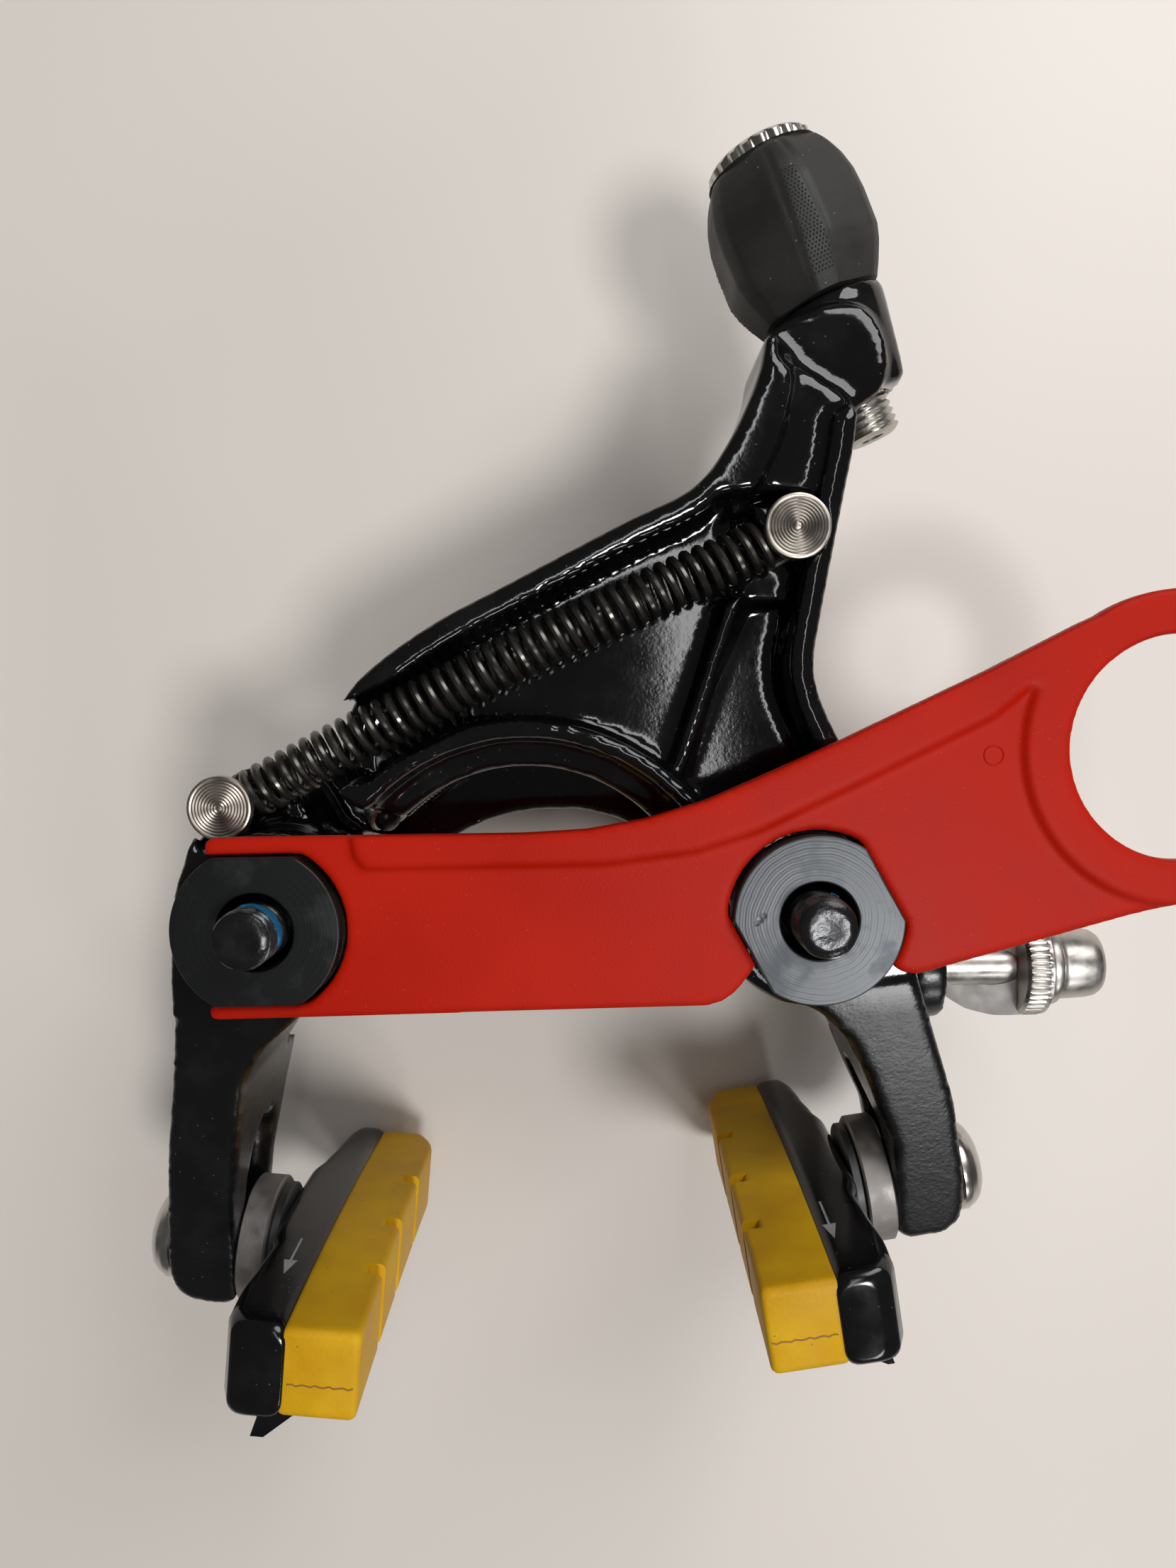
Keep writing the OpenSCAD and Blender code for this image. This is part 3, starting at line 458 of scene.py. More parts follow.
def turned(name, rows, place, material, body, replaced=(), around=64, closed=False):
    verts, faces, rings = [], [], []
    for z, radius in rows:
        if radius == 0:
            rings.append([len(verts)])
            verts.append(place @ Vector((0, 0, z)))
            continue
        ring = []
        for k in range(around):
            turn = 2 * math.pi * k / around
            r = radius(turn) if callable(radius) else radius
            ring.append(len(verts))
            verts.append(place @ Vector((r * math.cos(turn), r * math.sin(turn), z)))
        rings.append(ring)
    pairs = list(zip(rings, rings[1:])) + ([(rings[-1], rings[0])] if closed else [])
    for lower, upper in pairs:
        for k in range(around):
            j = (k + 1) % around
            if len(lower) == 1:
                faces.append((lower[0], upper[j], upper[k]))
            elif len(upper) == 1:
                faces.append((lower[k], lower[j], upper[0]))
            else:
                faces.append((lower[k], lower[j], upper[j], upper[k]))
    return newPiece(name, verts, faces, material, body, replaced)


def roundedRows(low, high, radius, edge):
    # a plain cylinder's side with small rounded edges
    return [(low, radius - edge), (low + 0.3 * edge, radius - 0.3 * edge), (low + edge, radius),
            (high - edge, radius), (high - 0.3 * edge, radius - 0.3 * edge), (high, radius - edge)]


def spot(x, y, z=0.0):
    return Matrix.Translation((x, y, z))


def about(axis, degrees):
    return Matrix.Rotation(math.radians(degrees), 4, axis)


# Forged and moulded pieces: a node's solid with its fine forms added and cut, under one soft skin


def slabFaces(count):
    # both ends and the sides between two outlines of so many points
    faces = [tuple(range(count))[::-1], tuple(range(count, 2 * count))]
    return faces + [(k, (k + 1) % count, count + (k + 1) % count, count + k) for k in range(count)]


def prism(outline, low, high):
    verts = [(x, y, low) for x, y in outline] + [(x, y, high) for x, y in outline]
    return verts, slabFaces(len(outline))


def drum(place, low, high, lowRadius, highRadius, around=48):
    angles = [2 * math.pi * k / around for k in range(around)]
    verts = [place @ Vector((r * math.cos(a), r * math.sin(a), z))
             for z, r in ((low, lowRadius), (high, highRadius)) for a in angles]
    return verts, slabFaces(around)


def bodyMesh(name, solids):
    form = bmesh.new()
    for verts, faces in solids:
        made = [form.verts.new(tuple(Vector(v) * mm)) for v in verts]
        for face in faces:
            form.faces.new([made[k] for k in face])
    bmesh.ops.recalc_face_normals(form, faces=form.faces)
    mesh = bpy.data.meshes.new(name)
    form.to_mesh(mesh)
    form.free()
    return mesh


# a forging is tilted while it is cast, so that the grid leaves no steps on its flat sides
tilt = about("Z", 31) @ about("X", 23)


def formed(name, node, material, body, added=(), cuts=()):
    # a copy of the model's mesh, cast again in one skin
    voxel, smoothing = moulding["arm"]
    mesh = nodes[node].data.copy()
    if added:
        form = bmesh.new()
        form.from_mesh(mesh)
        form.from_mesh(bodyMesh(name + "Added", added))
        form.to_mesh(mesh)
        form.free()
    mesh.transform(tilt)
    piece = bpy.data.objects.new(name, mesh)
    bpy.context.scene.collection.objects.link(piece)
    cast = piece.modifiers.new("cast", "REMESH")
    cast.mode, cast.voxel_size = "VOXEL", voxel * mm
    if cuts:
        cutter = bpy.data.objects.new(name + "Cutter", bodyMesh(name + "Cutter", cuts))
        cutter.data.transform(tilt)
        bpy.context.scene.collection.objects.link(cutter)
        cut = piece.modifiers.new("cut", "BOOLEAN")
        cut.operation, cut.solver, cut.object = "DIFFERENCE", "EXACT", cutter
    mould(piece, voxel, smoothing)
    bpy.context.view_layer.update()
    done = bpy.data.meshes.new_from_object(piece.evaluated_get(bpy.context.evaluated_depsgraph_get()))
    piece.modifiers.clear()
    done.transform(tilt.inverted())
    piece.data = done
    if cuts:
        bpy.data.objects.remove(cutter)
    done.materials.clear()
    done.materials.append(material)
    smooth(done)
    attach(piece, body)
    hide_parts(node)
    print(" ", name, len(done.polygons), "faces")


def band(centre, inner, outer, start, end, steps=24):
    # part of a ring, seen along Z
    angles = [math.radians(start + (end - start) * k / steps) for k in range(steps + 1)]
    return ([(centre[0] + inner * math.cos(a), centre[1] + inner * math.sin(a)) for a in angles]
            + [(centre[0] + outer * math.cos(a), centre[1] + outer * math.sin(a)) for a in reversed(angles)])


# the barrel adjuster's axis, from its foot on top of the adjuster arm's boss
adjusterPlace = spot(32, 64.6, -16) @ about("Z", 22) @ about("X", -90)

# outlines as (x, y); a span is the (low, high) z of a prism; boss and bore are (low, high, radii) on the axis
arms = {
    "neck": [(26.3, 57.0), (24.4, 52.2), (22.0, 46.8), (20.9, 43.8), (22.6, 43.0), (25.2, 43.6), (28.4, 43.2),
             (30.2, 41.2), (31.2, 45.3), (32.1, 50.2), (32.9, 52.9)],
    "neckSpan": (-14, -7.0),
    "boss": (-11, 0, 6.2, 6.9),
    "bore": (-30, 4, 3.2, 3.2),
    "bossSide": [(37.2, 71.1), (40.7, 52.9), (48, 52.9), (48, 71.1)],
    "bossSideSpan": (-34, 2),
    "bridge": ((0.4, -13.3), 23.2, 28.2, 36, 86),
    "bridgeSpan": (-28.5, -24.8),
    "shoulder": [(-35.3, 9.6), (-37.3, 4), (-38, 0), (-38.2, -6), (-38.2, -10), (-35, -8), (-34, 0), (-34, 6)],
    "shoulderSpan": (-23.5, -3.7),
    "hiddenCorner": [(-42, 13.4), (-35.6, 13.2), (-30, 15.6), (-20, 18.2), (-10, 22.0), (0, 25.6), (10, 27.4),
                     (16, 34), (-42, 34)],
    "hiddenCornerSpan": (-44, -24.3),
}


def armPrism(outline):
    return prism(arms[outline], *arms[outline + "Span"])


def makeArms():
    formed("rightArmForging", "right_arm", armPaint, "adjuster_side",
           added=[armPrism("neck"), drum(adjusterPlace, *arms["boss"])],
           cuts=[drum(adjusterPlace, *arms["bore"]), armPrism("bossSide")])
    formed("leftArmForging", "left_arm", armPaint, "anchor_side",
           added=[prism(band(*arms["bridge"]), *arms["bridgeSpan"]), armPrism("shoulder")],
           cuts=[armPrism("hiddenCorner")])


makeArms()
print("arms made")

# Mounting bolts

bolt = {"pitch": 56, "tip": 4.5, "thread": 1.0, "radius": 2.98, "head": -25.6, "headHeight": 5.5,
        "headRadius": 5}


def makeMountBolt(side, x):
    low = bolt["head"] - bolt["headHeight"]
    rows = [(low + 3.2, 0), (low + 3.2, hexRadius(4.9)), (low, hexRadius(5.1)), (low, 3.7)]
    rows += roundedRows(low, bolt["head"], bolt["headRadius"], 0.7)
    rows += [(bolt["head"], 2.7), (-5.2, 2.7), (-4.8, 2.4)]
    rows += threadRows(-4.6, bolt["tip"] - 0.7, bolt["thread"], bolt["radius"])
    rows += [(bolt["tip"] - 0.5, 2.55), (bolt["tip"] - 0.5, 0)]
    turned(side + "MountBolt", rows, spot(x, 0), boltThread, "pivots", [side + "_mount_bolt"], around=72)
    top = bolt["tip"]
    rows = [(top - 0.9, 0), (top - 0.9, 2.4), (top - 0.55, 2.75), (top - 0.3, 2.72), (top - 0.05, 2.3),
            (top, 1.8), (top - 0.03, 1.2), (top - 0.1, 0.5), (top - 0.12, 0)]
    turned(side + "BoltEnd", rows, spot(x, 0), boltEnd, "pivots", around=48)


def makeThreadlocker(name, x, start, end, low, high):
    # dried threadlocker on part of a thread, ragged at its edges
    verts, faces, count = [], [], 26
    for k in range(count + 1):
        a = math.radians(start + (end - start) * k / count)
        ragged = 0.25 * math.sin(k * 1.9) + 0.15 * math.sin(k * 4.1)
        shrink = min(1.0, 4.0 * k / count, 4.0 * (count - k) / count)
        for r, z in ((2.7, low), (3.06, low + 0.1 - ragged * 0.5), (3.1, (low + high) / 2),
                     (3.05, low + (high - low) * (0.3 + 0.7 * shrink) + ragged * 0.4), (2.7, high - 0.3)):
            verts.append((x + r * math.cos(a), r * math.sin(a), z))
    for k in range(count):
        for j in range(5):
            i = (j + 1) % 5
            faces.append((5 * k + j, 5 * k + i, 5 * k + 5 + i, 5 * k + 5 + j))
    faces += [tuple(range(5)), tuple(range(5 * count, 5 * count + 5))]
    newPiece(name, verts, faces, threadlocker, "pivots")


makeMountBolt("left", -bolt["pitch"] / 2)
makeMountBolt("right", bolt["pitch"] / 2)
makeThreadlocker("leftThreadlocker", -bolt["pitch"] / 2, -22, 112, 0.7, 2.3)
makeThreadlocker("rightThreadlocker", bolt["pitch"] / 2, 55, 72, 0.2, 0.9)

# Spring pins with the rings of the lathe on their heads

pin = {"left": (-32.5, 12.1), "right": (27.1, 39.4), "top": -4.2, "headHeight": 1.2, "headRadius": 3.35,
       "neck": 1.5, "low": -18.4, "grooves": 9}


def makeSpringPin(side, body):
    rows = [(pin["low"], 0), (pin["low"], pin["neck"]), (pin["top"] - pin["headHeight"], pin["neck"])]
    rows += roundedRows(pin["top"] - pin["headHeight"], pin["top"], pin["headRadius"], 0.22)
    step = (pin["headRadius"] - 0.5) / pin["grooves"]
    for k in range(pin["grooves"]):
        r = pin["headRadius"] - 0.35 - k * step
        rows += [(pin["top"], r), (pin["top"] - 0.09, r - 0.5 * step)]
    rows.append((pin["top"] - 0.02, 0))
    turned(side + "SpringPin", rows, spot(*pin[side]), turnedSteel, body, [side + "_spring_pin"])


makeSpringPin("left", "anchor_side")
makeSpringPin("right", "adjuster_side")

# Return spring: one wire, hooked round both pins, wound in a slightly bowed coil

spring = {"coils": 41.5, "outer": 5.6, "wire": 0.9, "height": -8.25, "low": 2.75, "high": 3.3, "bow": 1.0,
          "perTurn": 18, "sides": 8}


def springPath():
    start, end = Vector(pin["left"]), Vector(pin["right"])
    span = (end - start).length
    hook = pin["neck"] + spring["wire"] / 2 + 0.1
    coil = (spring["outer"] - spring["wire"]) / 2

    def loop(centre, degrees):
        angles = [math.radians(v) for v in degrees]
        return [(centre + hook * math.cos(a), hook * math.sin(a), 0) for a in angles]

    path = loop(0, range(-60, -261, -15))
    path.append((1.6, hook + 0.1, 0))
    count = int(spring["coils"] * spring["perTurn"])
    for k in range(count + 1):
        t, a = k / count, 2 * math.pi * k / spring["perTurn"]
        x = spring["low"] + (span - spring["high"] - spring["low"]) * t
        bow = spring["bow"] * math.sin(math.pi * x / span)
        path.append((x, coil * math.cos(a) + bow, coil * math.sin(a)))
    path.append((span - 2.2, -hook - 0.1, 0))
    path += loop(span, range(-80, 121, 15))
    turn = math.atan2(end.y - start.y, end.x - start.x)
    place = spot(start.x, start.y, spring["height"]) @ Matrix.Rotation(turn, 4, "Z")
    return [place @ Vector(p) for p in path]


def tube(name, path, radius, sides, material, body=None, replaced=()):
    verts, faces = [], []
    normal = Vector((0, 0, 1))
    for k, point in enumerate(path):
        along = (path[min(k + 1, len(path) - 1)] - path[max(k - 1, 0)]).normalized()
        normal = (normal - along * normal.dot(along)).normalized()
        across = along.cross(normal)
        for s in range(sides):
            a = 2 * math.pi * s / sides
            verts.append(point + radius * (math.cos(a) * normal + math.sin(a) * across))
    for k in range(len(path) - 1):
        for s in range(sides):
            t = (s + 1) % sides
            faces.append((k * sides + s, k * sides + t, (k + 1) * sides + t, (k + 1) * sides + s))
    faces.append(tuple(range(sides))[::-1])
    faces.append(tuple(range((len(path) - 1) * sides, len(path) * sides)))
    return newPiece(name, verts, faces, material, body, replaced)


returnSpring = tube("returnSpring", springPath(), spring["wire"] / 2, spring["sides"], springSteel,
                    replaced=["return_spring"])
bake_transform(returnSpring)

# Centring screw

centring = {"place": (-16.4, 10.8, -14.5), "turn": 216, "radius": 1.5, "pitch": 0.5}


def makeCentringScrew():
    place = spot(*centring["place"]) @ about("Z", centring["turn"]) @ about("Y", 90)
    rows = [(-6.6, 0), (-6.6, hexRadius(1.5)), (-8, hexRadius(1.6)), (-8, 1.15), (-7.8, 1.35)]
    rows += threadRows(-7.7, 2.0, centring["pitch"], centring["radius"], steps=6)
    rows += [(2.2, 1.15), (2.4, 0.8), (2.4, 0)]
    turned("centringScrew", rows, place, plainSteel, "adjuster_side", ["centring_screw"], around=40)


def makeScrewEnd():
    # the screw's rounded point and its bright chamfer, where it comes through the arm's tip
    place = spot(-16.9, 10.3, -12.2) @ about("Z", -41) @ about("Y", 62)
    rows = [(-2.0, 0), (-2.0, 1.5), (-0.7, 1.75), (-0.45, 1.95), (-0.05, 1.95), (0.15, 1.7), (0.15, 1.55)]
    turned("screwChamfer", rows + [(0, 0)], place, plainSteel, "adjuster_side")
    rows = [(-0.2, 0), (-0.2, 1.5), (0.3, 1.52), (0.8, 1.4), (1.25, 1.05), (1.5, 0.6), (1.58, 0)]
    turned("screwPoint", rows, place, blackSteel, "adjuster_side")


makeCentringScrew()
makeScrewEnd()
print("pivot and spring hardware made")

# Barrel adjuster

adjuster = {"knob": 16.7, "gap": 0.3, "seat": 5.9, "seatTop": 18.3, "teeth": 22, "barrel": 3.15, "reach": 15,
            "ribs": 3, "ribTurn": 0.46}


def knobRadius(z):
    # a long chamfer at the foot, straight sides and a rounded top
    steps = [(0.3, 6.9), (1.6, 7.6), (3.6, 8.5), (5.2, 8.95), (9, 9.0), (11.5, 8.8), (13.4, 8.3), (15.0, 7.6),
             (16.1, 6.95), (16.6, 6.4), (16.7, 6.1)]
    for (z0, r0), (z1, r1) in zip(steps, steps[1:]):
        if z <= z1:
            t = max(0.0, (z - z0) / (z1 - z0))
            return r0 + (r1 - r0) * t
    return steps[-1][1]


def ribHalf(z):
    return 0.07 + 0.11 * (1 - z / adjuster["knob"])


def knobShape(z):
    # three ribs that widen downward, and two flats to each span between them
    def radius(turn):
        full = knobRadius(z)
        span = 2 * math.pi / adjuster["ribs"]
        away = (turn - adjuster["ribTurn"]) % span
        away = min(away, span - away)
        flat = min(0.925 * full / math.cos(away - 0.58), 0.985 * full)
        edge = min(1.0, max(0.0, (away - ribHalf(z)) / 0.035))
        return full + (flat - 0.012 * full - full) * edge
    return radius


def makeAdjuster():
    gap, top, seat, seatTop = (adjuster[key] for key in ("gap", "knob", "seat", "seatTop"))
    levels = [gap + (top - gap) * k / 34 for k in range(35)]
    rows = [(gap, 4.3)] + [(z, knobShape(z)) for z in levels]
    rows += [(top, seat + 0.35), (top - 0.2, seat + 0.05), (top - 5.9, seat + 0.05), (top - 5.9, 4.3)]
    turned("rubberKnob", rows, adjusterPlace, knobRubber, "adjuster", ["adjuster_knob"], around=168,
           closed=True)
    teeth = ribbed(seat, adjuster["teeth"], 0.4)
    rows = [(top - 5.2, 3.05), (top - 5.2, seat), (top - 0.4, seat), (top - 0.3, teeth), (seatTop - 0.6, teeth),
            (seatTop - 0.2, seat - 0.45), (seatTop, seat - 0.8), (seatTop, 3.3), (seatTop - 0.2, 3.05)]
    turned("housingSeat", rows, adjusterPlace, polishedSteel, "adjuster", ["adjuster_seat"], around=176,
           closed=True)
    low, barrel = -adjuster["reach"], adjuster["barrel"]
    rows = [(low + 0.1, 1.2), (low, 1.5), (low, 2.5)] + threadRows(low + 0.3, 0, 0.8, barrel, steps=6)
    rows += [(0.3, barrel), (0.3, 4.2), (top - 5.3, 4.2), (top - 5.3, 2.5), (2.5, 2.5), (2.5, 1.2)]
    turned("barrel", rows, adjusterPlace, plainSteel, "adjuster", ["adjuster_barrel"], around=56, closed=True)


def makeRibGrip():
    # fine diamond texture on each rib of the knob
    verts, faces = [], []
    for rib in range(adjuster["ribs"]):
        centre = adjuster["ribTurn"] + rib * 2 * math.pi / adjuster["ribs"]
        for k in range(30):
            z = 1.9 + 0.36 * k
            half = 0.88 * ribHalf(z)
            r = knobRadius(z)
            count = 6 if z < 6 else 5 if z < 10 else 4
            for j in range(count):
                a = centre + half * (2 * (j + 0.5 * (k % 2)) / count - 1 + 0.5 / count)
                size = 0.42 * half * r * 2 / count
                ring = [(a - size / r, z, r - 0.02), (a, z - 0.18, r - 0.02), (a + size / r, z, r - 0.02),
                        (a, z + 0.18, r - 0.02), (a, z, r + 0.09)]
                at = len(verts)
                verts += [adjusterPlace @ Vector((q * math.cos(t), q * math.sin(t), h)) for t, h, q in ring]
                faces += [(at, at + 1, at + 4), (at + 1, at + 2, at + 4), (at + 2, at + 3, at + 4),
                          (at + 3, at, at + 4)]
    newPiece("ribGrip", verts, faces, knobRubber, "adjuster")


makeAdjuster()
makeRibGrip()
print("barrel adjuster made")

# Cable anchor

anchor = {"face": (47.2, -10.6, -26.1), "body": 9.4, "ring": 3.3, "collar": 1.5, "head": 5.6, "radius": 6.2,
          "knurls": 46}
anchorPlace = spot(*anchor["face"]) @ about("Y", 90)


def makeAnchor():
    low, rim = anchor["body"], anchor["radius"]
    high = low + anchor["ring"]
    foot = high + anchor["collar"]
    top = foot + anchor["head"]
    knurl = ribbed(rim, anchor["knurls"], 0.3)
    rows = [(low, 2.5), (low, rim - 0.5), (low + 0.3, rim - 0.15), (low + 0.5, knurl), (high - 0.9, knurl),
            (high - 0.7, rim - 0.1), (high - 0.3, rim - 0.1), (high, rim - 0.5), (high, 2.5)]
    turned("knurledWasher", rows, anchorPlace, plainSteel, "anchor_side", ["anchor_ring"], around=276,
           closed=True)
    rows = [(high, 2.5)] + roundedRows(high, foot, 5, 0.4) + [(foot, 2.5)]
    turned("anchorCollar", rows, anchorPlace, plainSteel, "anchor_side", ["anchor_collar"], closed=True)
    rows = [(-4.6, 0), (-4.6, 2.1)] + threadRows(-4.4, -0.6, 0.8, 2.5, steps=6) + [(0, 2.45), (foot, 2.45)]
    rows += [(foot, 4.0), (foot + 0.3, 4.25), (foot + 0.8, 4.35), (top - 1.8, 4.2), (top - 0.9, 4.0),
             (top - 0.3, 3.6), (top, 3.0), (top, hexRadius(4.9)), (top - 3.4, hexRadius(4.8)), (top - 3.4, 0)]
    turned("anchorBolt", rows, anchorPlace, plainSteel, "anchor_side", ["anchor_bolt"])


makeAnchor()
print("cable anchor made")

# Shoes: frames on the pad bolts, +X towards the wheel

shoe = {"left": {"pivot": -28, "roll": -6, "leg": -3.9, "drop": 41.4, "rise": 0.6, "swivel": 0.5, "side": 1,
                 "body": "anchor_side"},
        "right": {"pivot": 28, "roll": 8, "leg": 6.3, "drop": 35.8, "rise": -0.3, "swivel": 2.5, "side": -1,
                  "body": "adjuster_side"},
        "height": -21, "legWidth": 7.9, "dish": 4.4, "dishRadius": 7.2, "holder": 5.6, "pad": 11.0,
        "padHeight": 9.0, "rimRadius": 300}


def shoePlace(side):
    s = shoe[side]
    flip = Matrix.Scale(-1, 4, (1, 0, 0)) if s["side"] < 0 else Matrix.Identity(4)
    return spot(s["pivot"], 0) @ about("Z", s["roll"]) @ spot(s["leg"], -s["drop"], shoe["height"]) @ flip


def swivelled(side):
    return shoePlace(side) @ about("X", shoe[side]["swivel"])


def sideHeight(w, rise):
    # the height of a pad's upper side, which follows the rim's curve along the shoe
    return shoe["padHeight"] / 2 + rise - w * w / (2 * shoe["rimRadius"])


def makeShoeHardware(side):
    place = shoePlace(side) @ about("Y", 90)
    body = shoe[side]["body"]
    r, half = shoe["dishRadius"], shoe["dish"] / 2
    rows = [(0, 2.8), (0, r - 0.3), (0.2, r), (half + 0.8, r), (half + 1.0, r - 0.25), (half + 1.0, r - 2.2),
            (half + 1.4, 3.6), (half + 1.4, 2.8)]
    turned(side + "InnerDish", rows, place, dishAlloy, body, [side + "_inner_dish"], around=96, closed=True)
    rows = [(half + 1.45, 2.8), (half + 1.45, 3.7), (half + 1.1, r - 2.1), (half + 1.1, r - 0.9),
            (half + 1.25, r - 0.7), (2 * half - 0.15, r - 0.7), (2 * half, r - 0.9), (2 * half, 2.8)]
    turned(side + "OuterDish", rows, place, darkDish, body, [side + "_outer_dish"], around=96, closed=True)
    outer = -shoe["legWidth"] - 0.3
    rows = [(shoe["holder"] + 3, 0), (shoe["holder"] + 3, 2.2)]
    rows += list(reversed(threadRows(shoe["dish"] + 0.4, shoe["holder"] + 2.9, 0.8, 2.5, steps=6)))
    rows += [(shoe["dish"], 2.45), (outer, 2.45), (outer, 5.0), (outer - 0.25, 5.2), (outer - 0.9, 5.2),
             (outer - 1.2, 5.0), (outer - 1.7, 4.75), (outer - 2.3, 4.2), (outer - 2.8, 3.3),
             (outer - 3.05, 2.4), (outer - 3.05, hexRadius(4)), (outer - 0.8, hexRadius(3.9)), (outer - 0.8, 0)]
    turned(side + "PadBolt", rows, place, polishedSteel, body, [side + "_pad_bolt"], around=72)


# the plan of a holder's outer side is a row of (w, x), w along the shoe from its front end to its back
holder = {"half": 4.9, "corner": 1.5, "round": 1.2,
          "plan": [(-25.6, 7.4), (-24.6, 6.5), (-21.6, 6.0), (-17, 5.7), (-12, 5.2), (-8, 4.45), (7.8, 4.45),
                   (11, 5.1), (15, 4.9), (20, 4.5), (23, 4.6), (24.7, 5.3), (25.5, 6.5)]}
pad = {"half": 4.5, "corner": 0.7, "round": 0.7, "reach": 18.2, "front": -25.4, "back": 25.2, "nose": 6,
       "cuts": [-9, 3, 13], "cutWidth": 1.9, "cutDepth": 1.7}


def roundedSection(xLow, xHigh, yLow, yHigh, corner, steps=5):
    corner = min(corner, 0.48 * (xHigh - xLow), 0.48 * (yHigh - yLow))
    points = []
    for cx, cy, start in ((xHigh - corner, yHigh - corner, 0), (xLow + corner, yHigh - corner, 90),
                          (xLow + corner, yLow + corner, 180), (xHigh - corner, yLow + corner, 270)):
        for k in range(steps + 1):
            a = math.radians(start + 90 * k / steps)
            points.append((cx + corner * math.cos(a), cy + corner * math.sin(a)))
    return points


def loft(name, side, sections, material, replaced):
    # sections are (w, outline in x and y), in the shoe's frame
    place = swivelled(side)
    verts = [place @ Vector((x, y, w)) for w, outline in sections for x, y in outline]
    size = len(sections[0][1])
    faces = [tuple(range(size)), tuple(range(len(verts) - size, len(verts)))]
    for k in range(len(sections) - 1):
        for j in range(size):
            i = (j + 1) % size
            faces.append((k * size + j, k * size + i, (k + 1) * size + i, (k + 1) * size + j))
    return newPiece(name, verts, faces, material, shoe[side]["body"], replaced)


def endRound(w, low, high, length):
    # how much a section draws in near either end, as a quarter circle
    near = min(w - low, high - w)
    return 0.0 if near >= length else length - math.sqrt(max(0.0, length ** 2 - (length - near) ** 2))


def makeHolder(side):
    rise, sections = shoe[side]["rise"], []
    points = holder["plan"]
    low, high = points[0][0], points[-1][0]
    stations = sorted({low + (high - low) * k / 64 for k in range(65)} | {low + d for d in (0.05, 0.2, 0.45)}
                      | {high - d for d in (0.05, 0.2, 0.45, 0.7)})
    for w in stations:
        for (w0, x0), (w1, x1) in zip(points, points[1:]):
            if w <= w1 + 1e-6:
                t = (w - w0) / (w1 - w0)
                outer = x0 + (x1 - x0) * t * t * (3 - 2 * t)
                break
        inset = endRound(w, low, high, holder["round"])
        middle = sideHeight(w, rise) - shoe["padHeight"] / 2
        sections.append((w, roundedSection(outer + 0.4 * inset, shoe["pad"] - 0.25 * inset,
                                           middle - holder["half"] + inset, middle + holder["half"] - inset,
                                           holder["corner"])))
    loft(side + "HolderShell", side, sections, holderPaint, [side + "_holder"])


def makePad(side):
    # friction block, its face drawn back at the front end, cut by three water grooves
    rise, sections = shoe[side]["rise"], []
    low, high = pad["front"], pad["back"]
    stations = {low + (high - low) * k / 40 for k in range(41)} | {low + d for d in (0.1, 0.3, 0.6)}
    stations |= {high - d for d in (0.1, 0.3, 0.6)}
    for cut in pad["cuts"]:
        stations |= {cut, cut + 0.05, cut + pad["cutWidth"] - 0.05, cut + pad["cutWidth"]}
    for w in sorted(stations):
        inset = endRound(w, low, high, pad["round"])
        reach = pad["reach"] - 0.8 * inset
        if w < low + pad["nose"]:
            reach -= 0.068 * (low + pad["nose"] - w) ** 2
        if any(cut + 0.04 < w < cut + pad["cutWidth"] - 0.04 for cut in pad["cuts"]):
            reach -= pad["cutDepth"]
        middle = sideHeight(w, rise) - shoe["padHeight"] / 2
        sections.append((w, roundedSection(shoe["pad"] - 0.6, reach, middle - pad["half"] + inset,
                                           middle + pad["half"] - inset, pad["corner"], steps=3)))
    loft(side + "PadBlock", side, sections, padCompound, [side + "_pad"])


# (x, half width, length)
fin = {"left": (10.2, 1.7, 2.6), "right": (7.2, 0.9, 0.9)}


def makeFin(side):
    # small pointed tab under the holder's back end
    place = swivelled(side)
    low = shoe[side]["rise"] - holder["half"] - 0.8
    x, half, length = fin[side]
    base = [(x - half, low, 24.5), (x + half, low, 24.5), (x + half, low + 1.6, 20), (x - half, low + 1.6, 20)]
    back = [(x - half, low + 1.2, 25.1), (x + half, low + 1.2, 25.1)]
    tip = [(x - half * 0.9 - 0.35 * length, low - length, 24.3),
           (x - half * 0.2 - 0.3 * length, low - length, 24.3)]
    verts = [place @ Vector(v) for v in base + back + tip]
    faces = [(0, 6, 7, 1), (1, 7, 2), (2, 7, 6, 3), (3, 6, 0), (0, 3, 4), (1, 5, 2), (0, 1, 5, 4), (3, 2, 5, 4)]
    newPiece(side + "HolderFin", verts, faces, holderPaint, shoe[side]["body"])


def slabOn(name, side, outline, lift, thick, material, top):
    # a thin flat piece on a shoe's side, its outline in (x, w) millimetres
    place = swivelled(side)
    verts = [place @ Vector((x, sideHeight(w, shoe[side]["rise"]) + top + level, w))
             for level in (lift, lift + thick) for x, w in outline]
    newPiece(name, verts, slabFaces(len(outline)), material, shoe[side]["body"])


# plain arrow that shows which way the shoe faces: (x, w) of its tail on either side, and its sizes
arrow = {"left": (8.2, 10.0), "right": (9.4, 12.4), "length": 7.0, "barb": 2.6, "stem": 0.12, "head": 0.72}


def makeArrow(side):
    (x, tail), stem, head = arrow[side], arrow["stem"], arrow["head"]
    neck, tip = tail + arrow["length"] - arrow["barb"], tail + arrow["length"]
    outline = [(x - stem, tail), (x + stem, tail), (x + stem, neck), (x + head, neck), (x, tip),
               (x - head, neck), (x - stem, neck)]
    slabOn(side + "HolderArrow", side, outline, -0.03, 0.06, printGrey, 0.4)


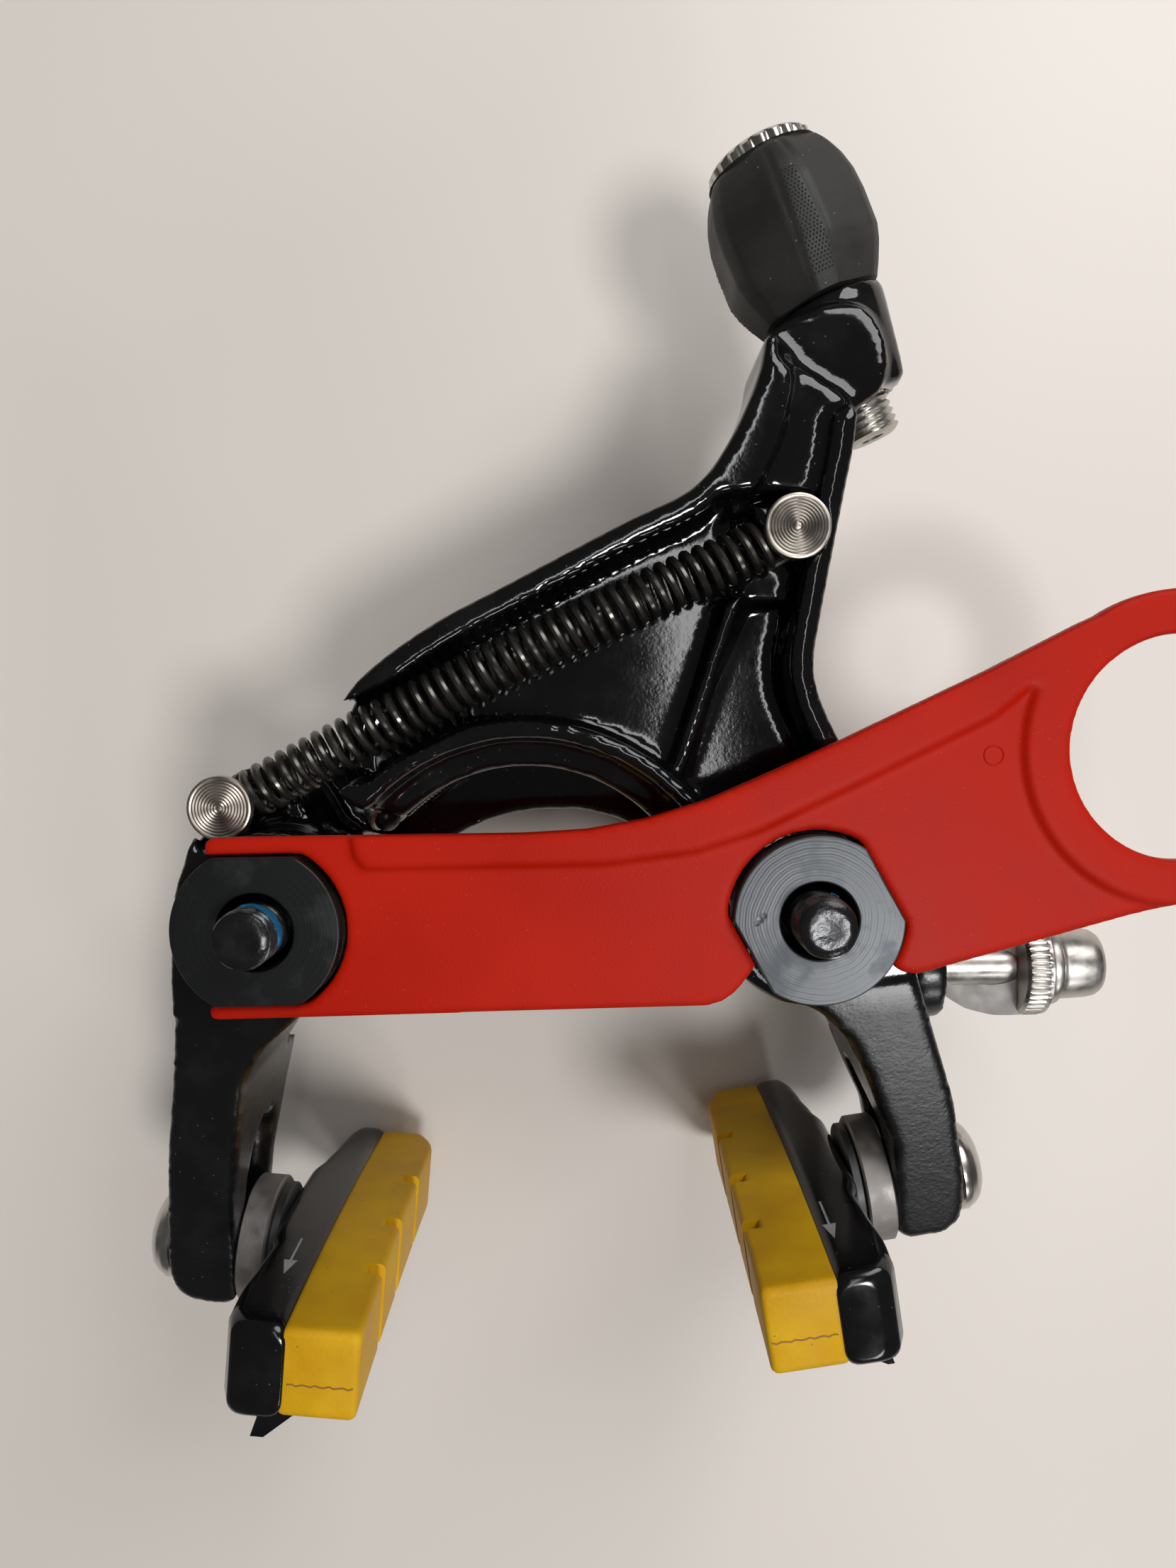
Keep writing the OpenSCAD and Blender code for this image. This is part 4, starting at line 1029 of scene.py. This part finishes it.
def makeMouldLine(side):
    # the parting line across the pad's back end, a real line drawn as a dark strip: its darkness is painted
    # shade of the line's small step
    place = swivelled(side)
    y = shoe[side]["rise"] - 1.15 - pad["back"] ** 2 / (2 * shoe["rimRadius"])
    points = [(shoe["pad"] + 0.25 + 6.5 * k / 14, y + 0.1 * math.sin(k * 2.3) + 0.05 * k / 14)
              for k in range(15)]
    outline = points + [(x, v + 0.17) for x, v in reversed(points)]
    verts = [place @ Vector((x, v, pad["back"] + d)) for d in (-0.05, 0.02) for x, v in outline]
    newPiece(side + "MouldLine", verts, slabFaces(len(outline)), padShade, shoe[side]["body"])


for side in ("left", "right"):
    makeShoeHardware(side)
    makeHolder(side)
    makePad(side)
    makeFin(side)
    makeArrow(side)
    makeMouldLine(side)
print("shoes made")

# Small marks: an ejector ring on the clip and a punch mark on the right flange

# a dot is (x, y, radius), from the place of the punch mark
mark = {"ejector": (45.5, 16.0, -1.1), "ejectorRadius": 0.95, "punch": (22.1, 0.3),
        "dots": [(0, 0, 0.55), (0.42, 0.35, 0.4), (-0.3, -0.42, 0.35)]}


def makeMarks():
    place = spot(*mark["ejector"])
    r = mark["ejectorRadius"]
    angles = [2 * math.pi * k / 48 for k in range(49)]
    ring = [place @ Vector((r * math.cos(a), r * math.sin(a), 0)) for a in angles]
    tube("ejectorMark", ring, 0.09, 6, clipPlastic, "pivots")
    for k, (dx, dy, size) in enumerate(mark["dots"]):
        rows = [(-0.1, size), (0.03, size * 0.8), (0.035, size * 0.6), (0.01, size * 0.4), (0.006, 0)]
        place = spot(mark["punch"][0] + dx, mark["punch"][1] + dy)
        turned("punchMark%d" % k, rows, place, blackSteel, "pivots", around=20)


makeMarks()

# Floor and light: a lamp high on the right, a tube above, two low lamps on the right whose reflections lie on
# the adjuster arm's neck and on its leg, and a little light from the room all round

floor = {"height": cadBox[0][2] - 0.0002, "half": 1.6, "colour": (0.77, 0.71, 0.655), "rough": 0.45}
# a lamp is (place, diameter or sides, power)
light = {"key": ((0.3, -0.22, 0.87), 0.22, 4.0), "tube": ((0.125, 0.02, 1.2), (0.06, 1.0), 1.5),
         "side": ((0.24, 0.35, 0.34), 0.34, 1.6), "low": ((0.244, -0.473, 0.319), 0.13, 0.42),
         "aim": (0, 0, -0.03), "room": 0.09, "roomColour": (0.97, 0.96, 0.94)}


def makeFloor():
    mesh = bpy.data.meshes.new("tableTop")
    h, z = floor["half"], floor["height"]
    mesh.from_pydata([(-h, -h, z), (h, -h, z), (h, h, z), (-h, h, z)], [], [(0, 1, 2, 3)])
    table = bpy.data.objects.new("tableTop", mesh)
    material = newMaterial("tableTop", floor["colour"], floor["rough"])
    grain = effect(material, skin, Scale=900.0, Lumps=8.0)
    colourBy(material, grain["Patches"], [v * 0.97 for v in floor["colour"]], floor["colour"])
    mesh.materials.append(material)
    bpy.context.scene.collection.objects.link(table)


def makeLamp(name, place, size, power):
    # a tuple of sizes is a tube that shines straight down, one size is a disk aimed at the brake
    data = bpy.data.lights.new(name, "AREA")
    data.energy = power
    lamp = bpy.data.objects.new(name, data)
    lamp.location = place
    if isinstance(size, tuple):
        data.shape, data.size, data.size_y = "RECTANGLE", size[0], size[1]
    else:
        data.shape, data.size = "DISK", size
        lamp.rotation_mode = "QUATERNION"
        lamp.rotation_quaternion = (Vector(light["aim"]) - Vector(place)).to_track_quat("-Z", "Y")
    bpy.context.scene.collection.objects.link(lamp)


makeFloor()
for name in ("key", "tube", "side", "low"):
    makeLamp(name + "Lamp", *light[name])

world = bpy.data.worlds.new("room")
world.use_nodes = True
world.node_tree.nodes["Background"].inputs["Color"].default_value = (*light["roomColour"], 1)
world.node_tree.nodes["Background"].inputs["Strength"].default_value = light["room"]
bpy.context.scene.world = world
bpy.context.scene.view_settings.view_transform = "Standard"
print("floor and lights made")
